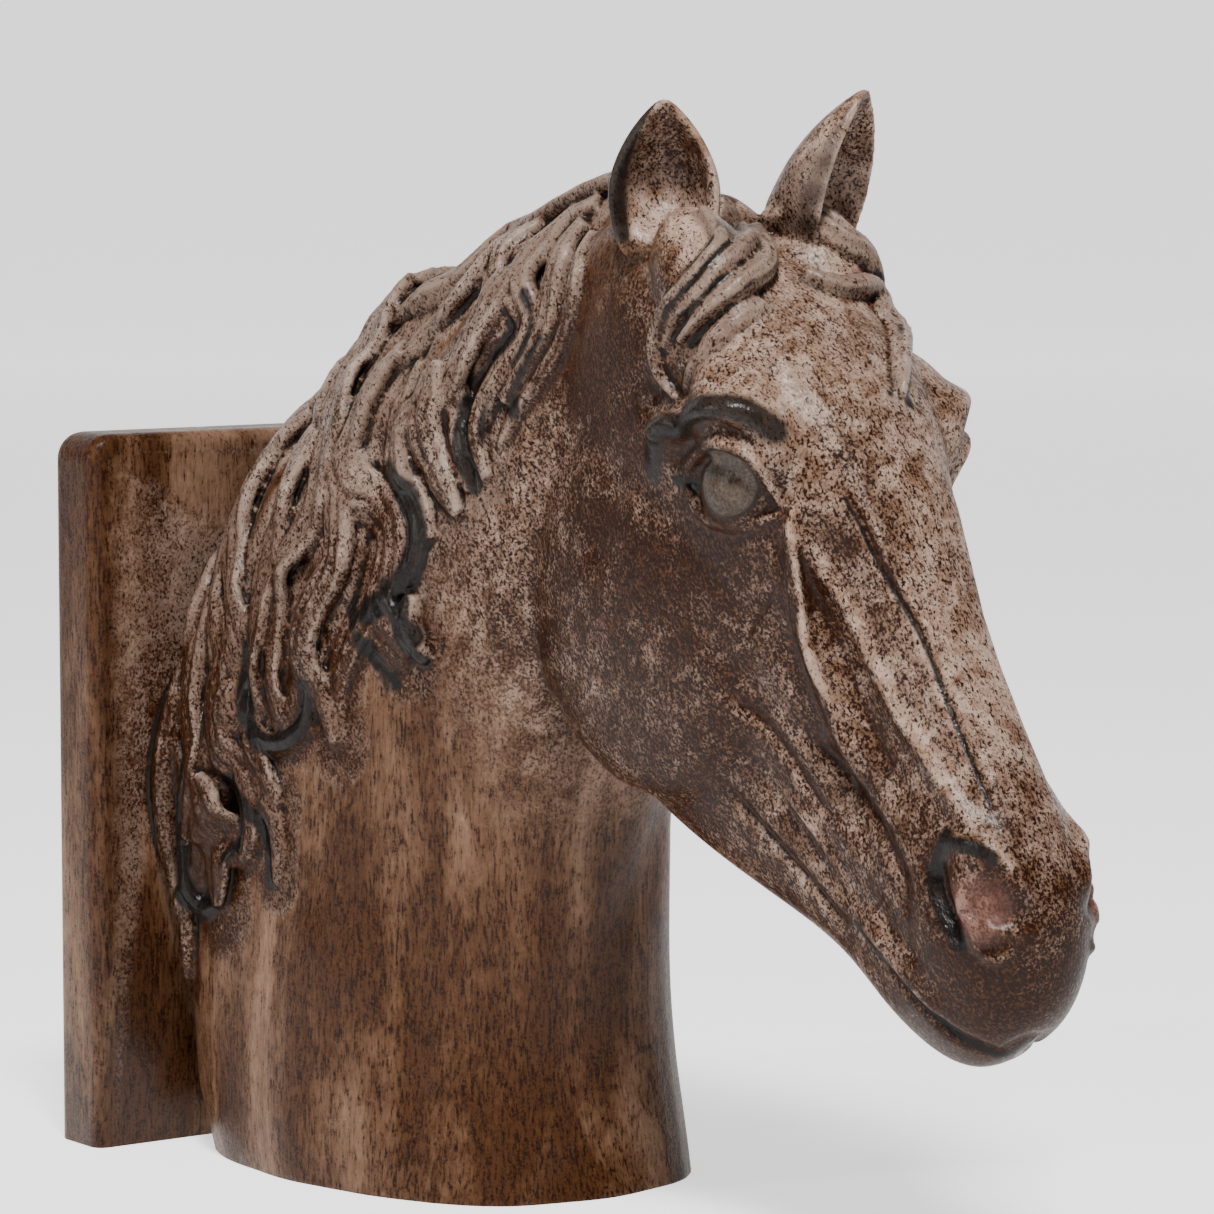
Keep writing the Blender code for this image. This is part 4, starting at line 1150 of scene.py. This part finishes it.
def bookend():
    """The whole casting as one mesh with its masks, cut flat at the underside."""
    mass = melted("mass", masses(), MASS_VOXEL, 12)
    skin = skin_of(mass)
    strokes = on_sides(skin, HEAD_RELIEF, draped_on_head, STROKE_PLACES)
    strokes += on_sides(skin, NECK_RELIEF, draped_on_neck, LINE_PLACES)
    mass = modelled(mass, strokes)
    skin = skin_of(mass)
    swells = on_sides(skin, MANE_BED, draped_on_neck, SHORT_PLACES)
    bed = [ribbon("bed", *swell) for swell in swells]
    hair_skin = skin_of(melted("bed", [mass, *bed], MASS_VOXEL, 8))
    bands = forelock_paths(skin) + on_sides(skin, EYELIDS, draped_on_head, SHORT_PLACES)
    added = mane(hair_skin) + [ribbon("band", *row) for row in bands]
    added += eyeballs(skin) + [ear(*row) for row in EARS]
    whole = melted("bust", [mass, *bed, *added, slab()], SKIN_VOXEL, SKIN_SMOOTHING)
    fine = skin_of(whole)
    strokes = on_sides(fine, FINE_RELIEF + FACE_LINES, draped_on_head, STROKE_PLACES)
    whole = modelled(whole, strokes)
    paint(whole, skin_of(whole))
    return trimmed(slimmed(whole, TRIANGLES), 0)


def piece(mesh, name, material):
    made = object_from(mesh, name)
    mesh.materials.append(material)
    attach(made, "root")
    return made


def backdrop():
    """A white sweep: the floor under the bookend, which rises far behind it."""
    mesh = bmesh.new()
    depth, width, rise = 3.0, 6.0, 3.0
    away = (Vector(LOOK_AT) - Vector(CAMERA_PLACE)).to_2d().normalized()
    across = Vector((-away.y, away.x))
    profile = [(-depth, 0)]
    for step in range(13):
        turn = math.radians(90 * step / 12)
        profile.append((depth + math.sin(turn), 1 - math.cos(turn)))
    profile.append((depth + 1, rise))
    lines = []
    for back, up in profile:
        middle = away * back
        ends = [middle + across * width, middle - across * width]
        lines.append([mesh.verts.new((*end, up)) for end in ends])
    for before, after in zip(lines, lines[1:]):
        mesh.faces.new((before[0], before[1], after[1], after[0]))
    data = mesh_from(mesh, "backdrop")
    data.shade_smooth()
    paper = Finish("white paper")
    glow = {"Emission Color": (1, 1, 1, 1), "Emission Strength": 1.2}
    paper.fill(paper.shader, {"Base Color": (0.80, 0.80, 0.80, 1), "Roughness": 0.9, **glow})
    data.materials.append(paper.material)
    return object_from(data, "backdrop")


def softbox(name, place, target, size, power):
    light = bpy.data.lights.new(name, "AREA")
    light.shape = "RECTANGLE"
    light.size, light.size_y = size
    light.energy = power
    made = object_from(light, name)
    made.location = place
    made.rotation_euler = (Vector(place) - Vector(target)).to_track_quat("Z", "Y").to_euler()


def studio():
    world = bpy.data.worlds.new("white studio")
    bpy.context.scene.world = world
    world.use_nodes = True
    sky = world.node_tree.nodes["Background"]
    sky.inputs["Color"].default_value = (1, 1, 1, 1)
    sky.inputs["Strength"].default_value = 0.03
    softbox("overhead", (0.50, -0.35, 1.1), (0.05, 0, 0.10), (0.24, 0.24), 25)
    softbox("side", (-0.3, -1.2, 0.5), (0.05, 0, 0.12), (0.10, 0.5), 5)


def camera():
    data = bpy.data.cameras.new("camera")
    data.lens = LENS
    data.sensor_width = 36
    made = object_from(data, "camera")
    made.location = CAMERA_PLACE
    made.rotation_mode = "QUATERNION"
    made.rotation_quaternion = (Vector(CAMERA_PLACE) - Vector(LOOK_AT)).to_track_quat("Z", "Y")
    bpy.context.scene.camera = made


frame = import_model()
camera()
studio()
backdrop()
resin = glazed_resin()
casting = bookend()
for mesh_of_piece, piece_name in zip(split(casting, owners(casting), PIECES), PIECES):
    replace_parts(piece(mesh_of_piece, piece_name, resin), "horse_head_bookend")
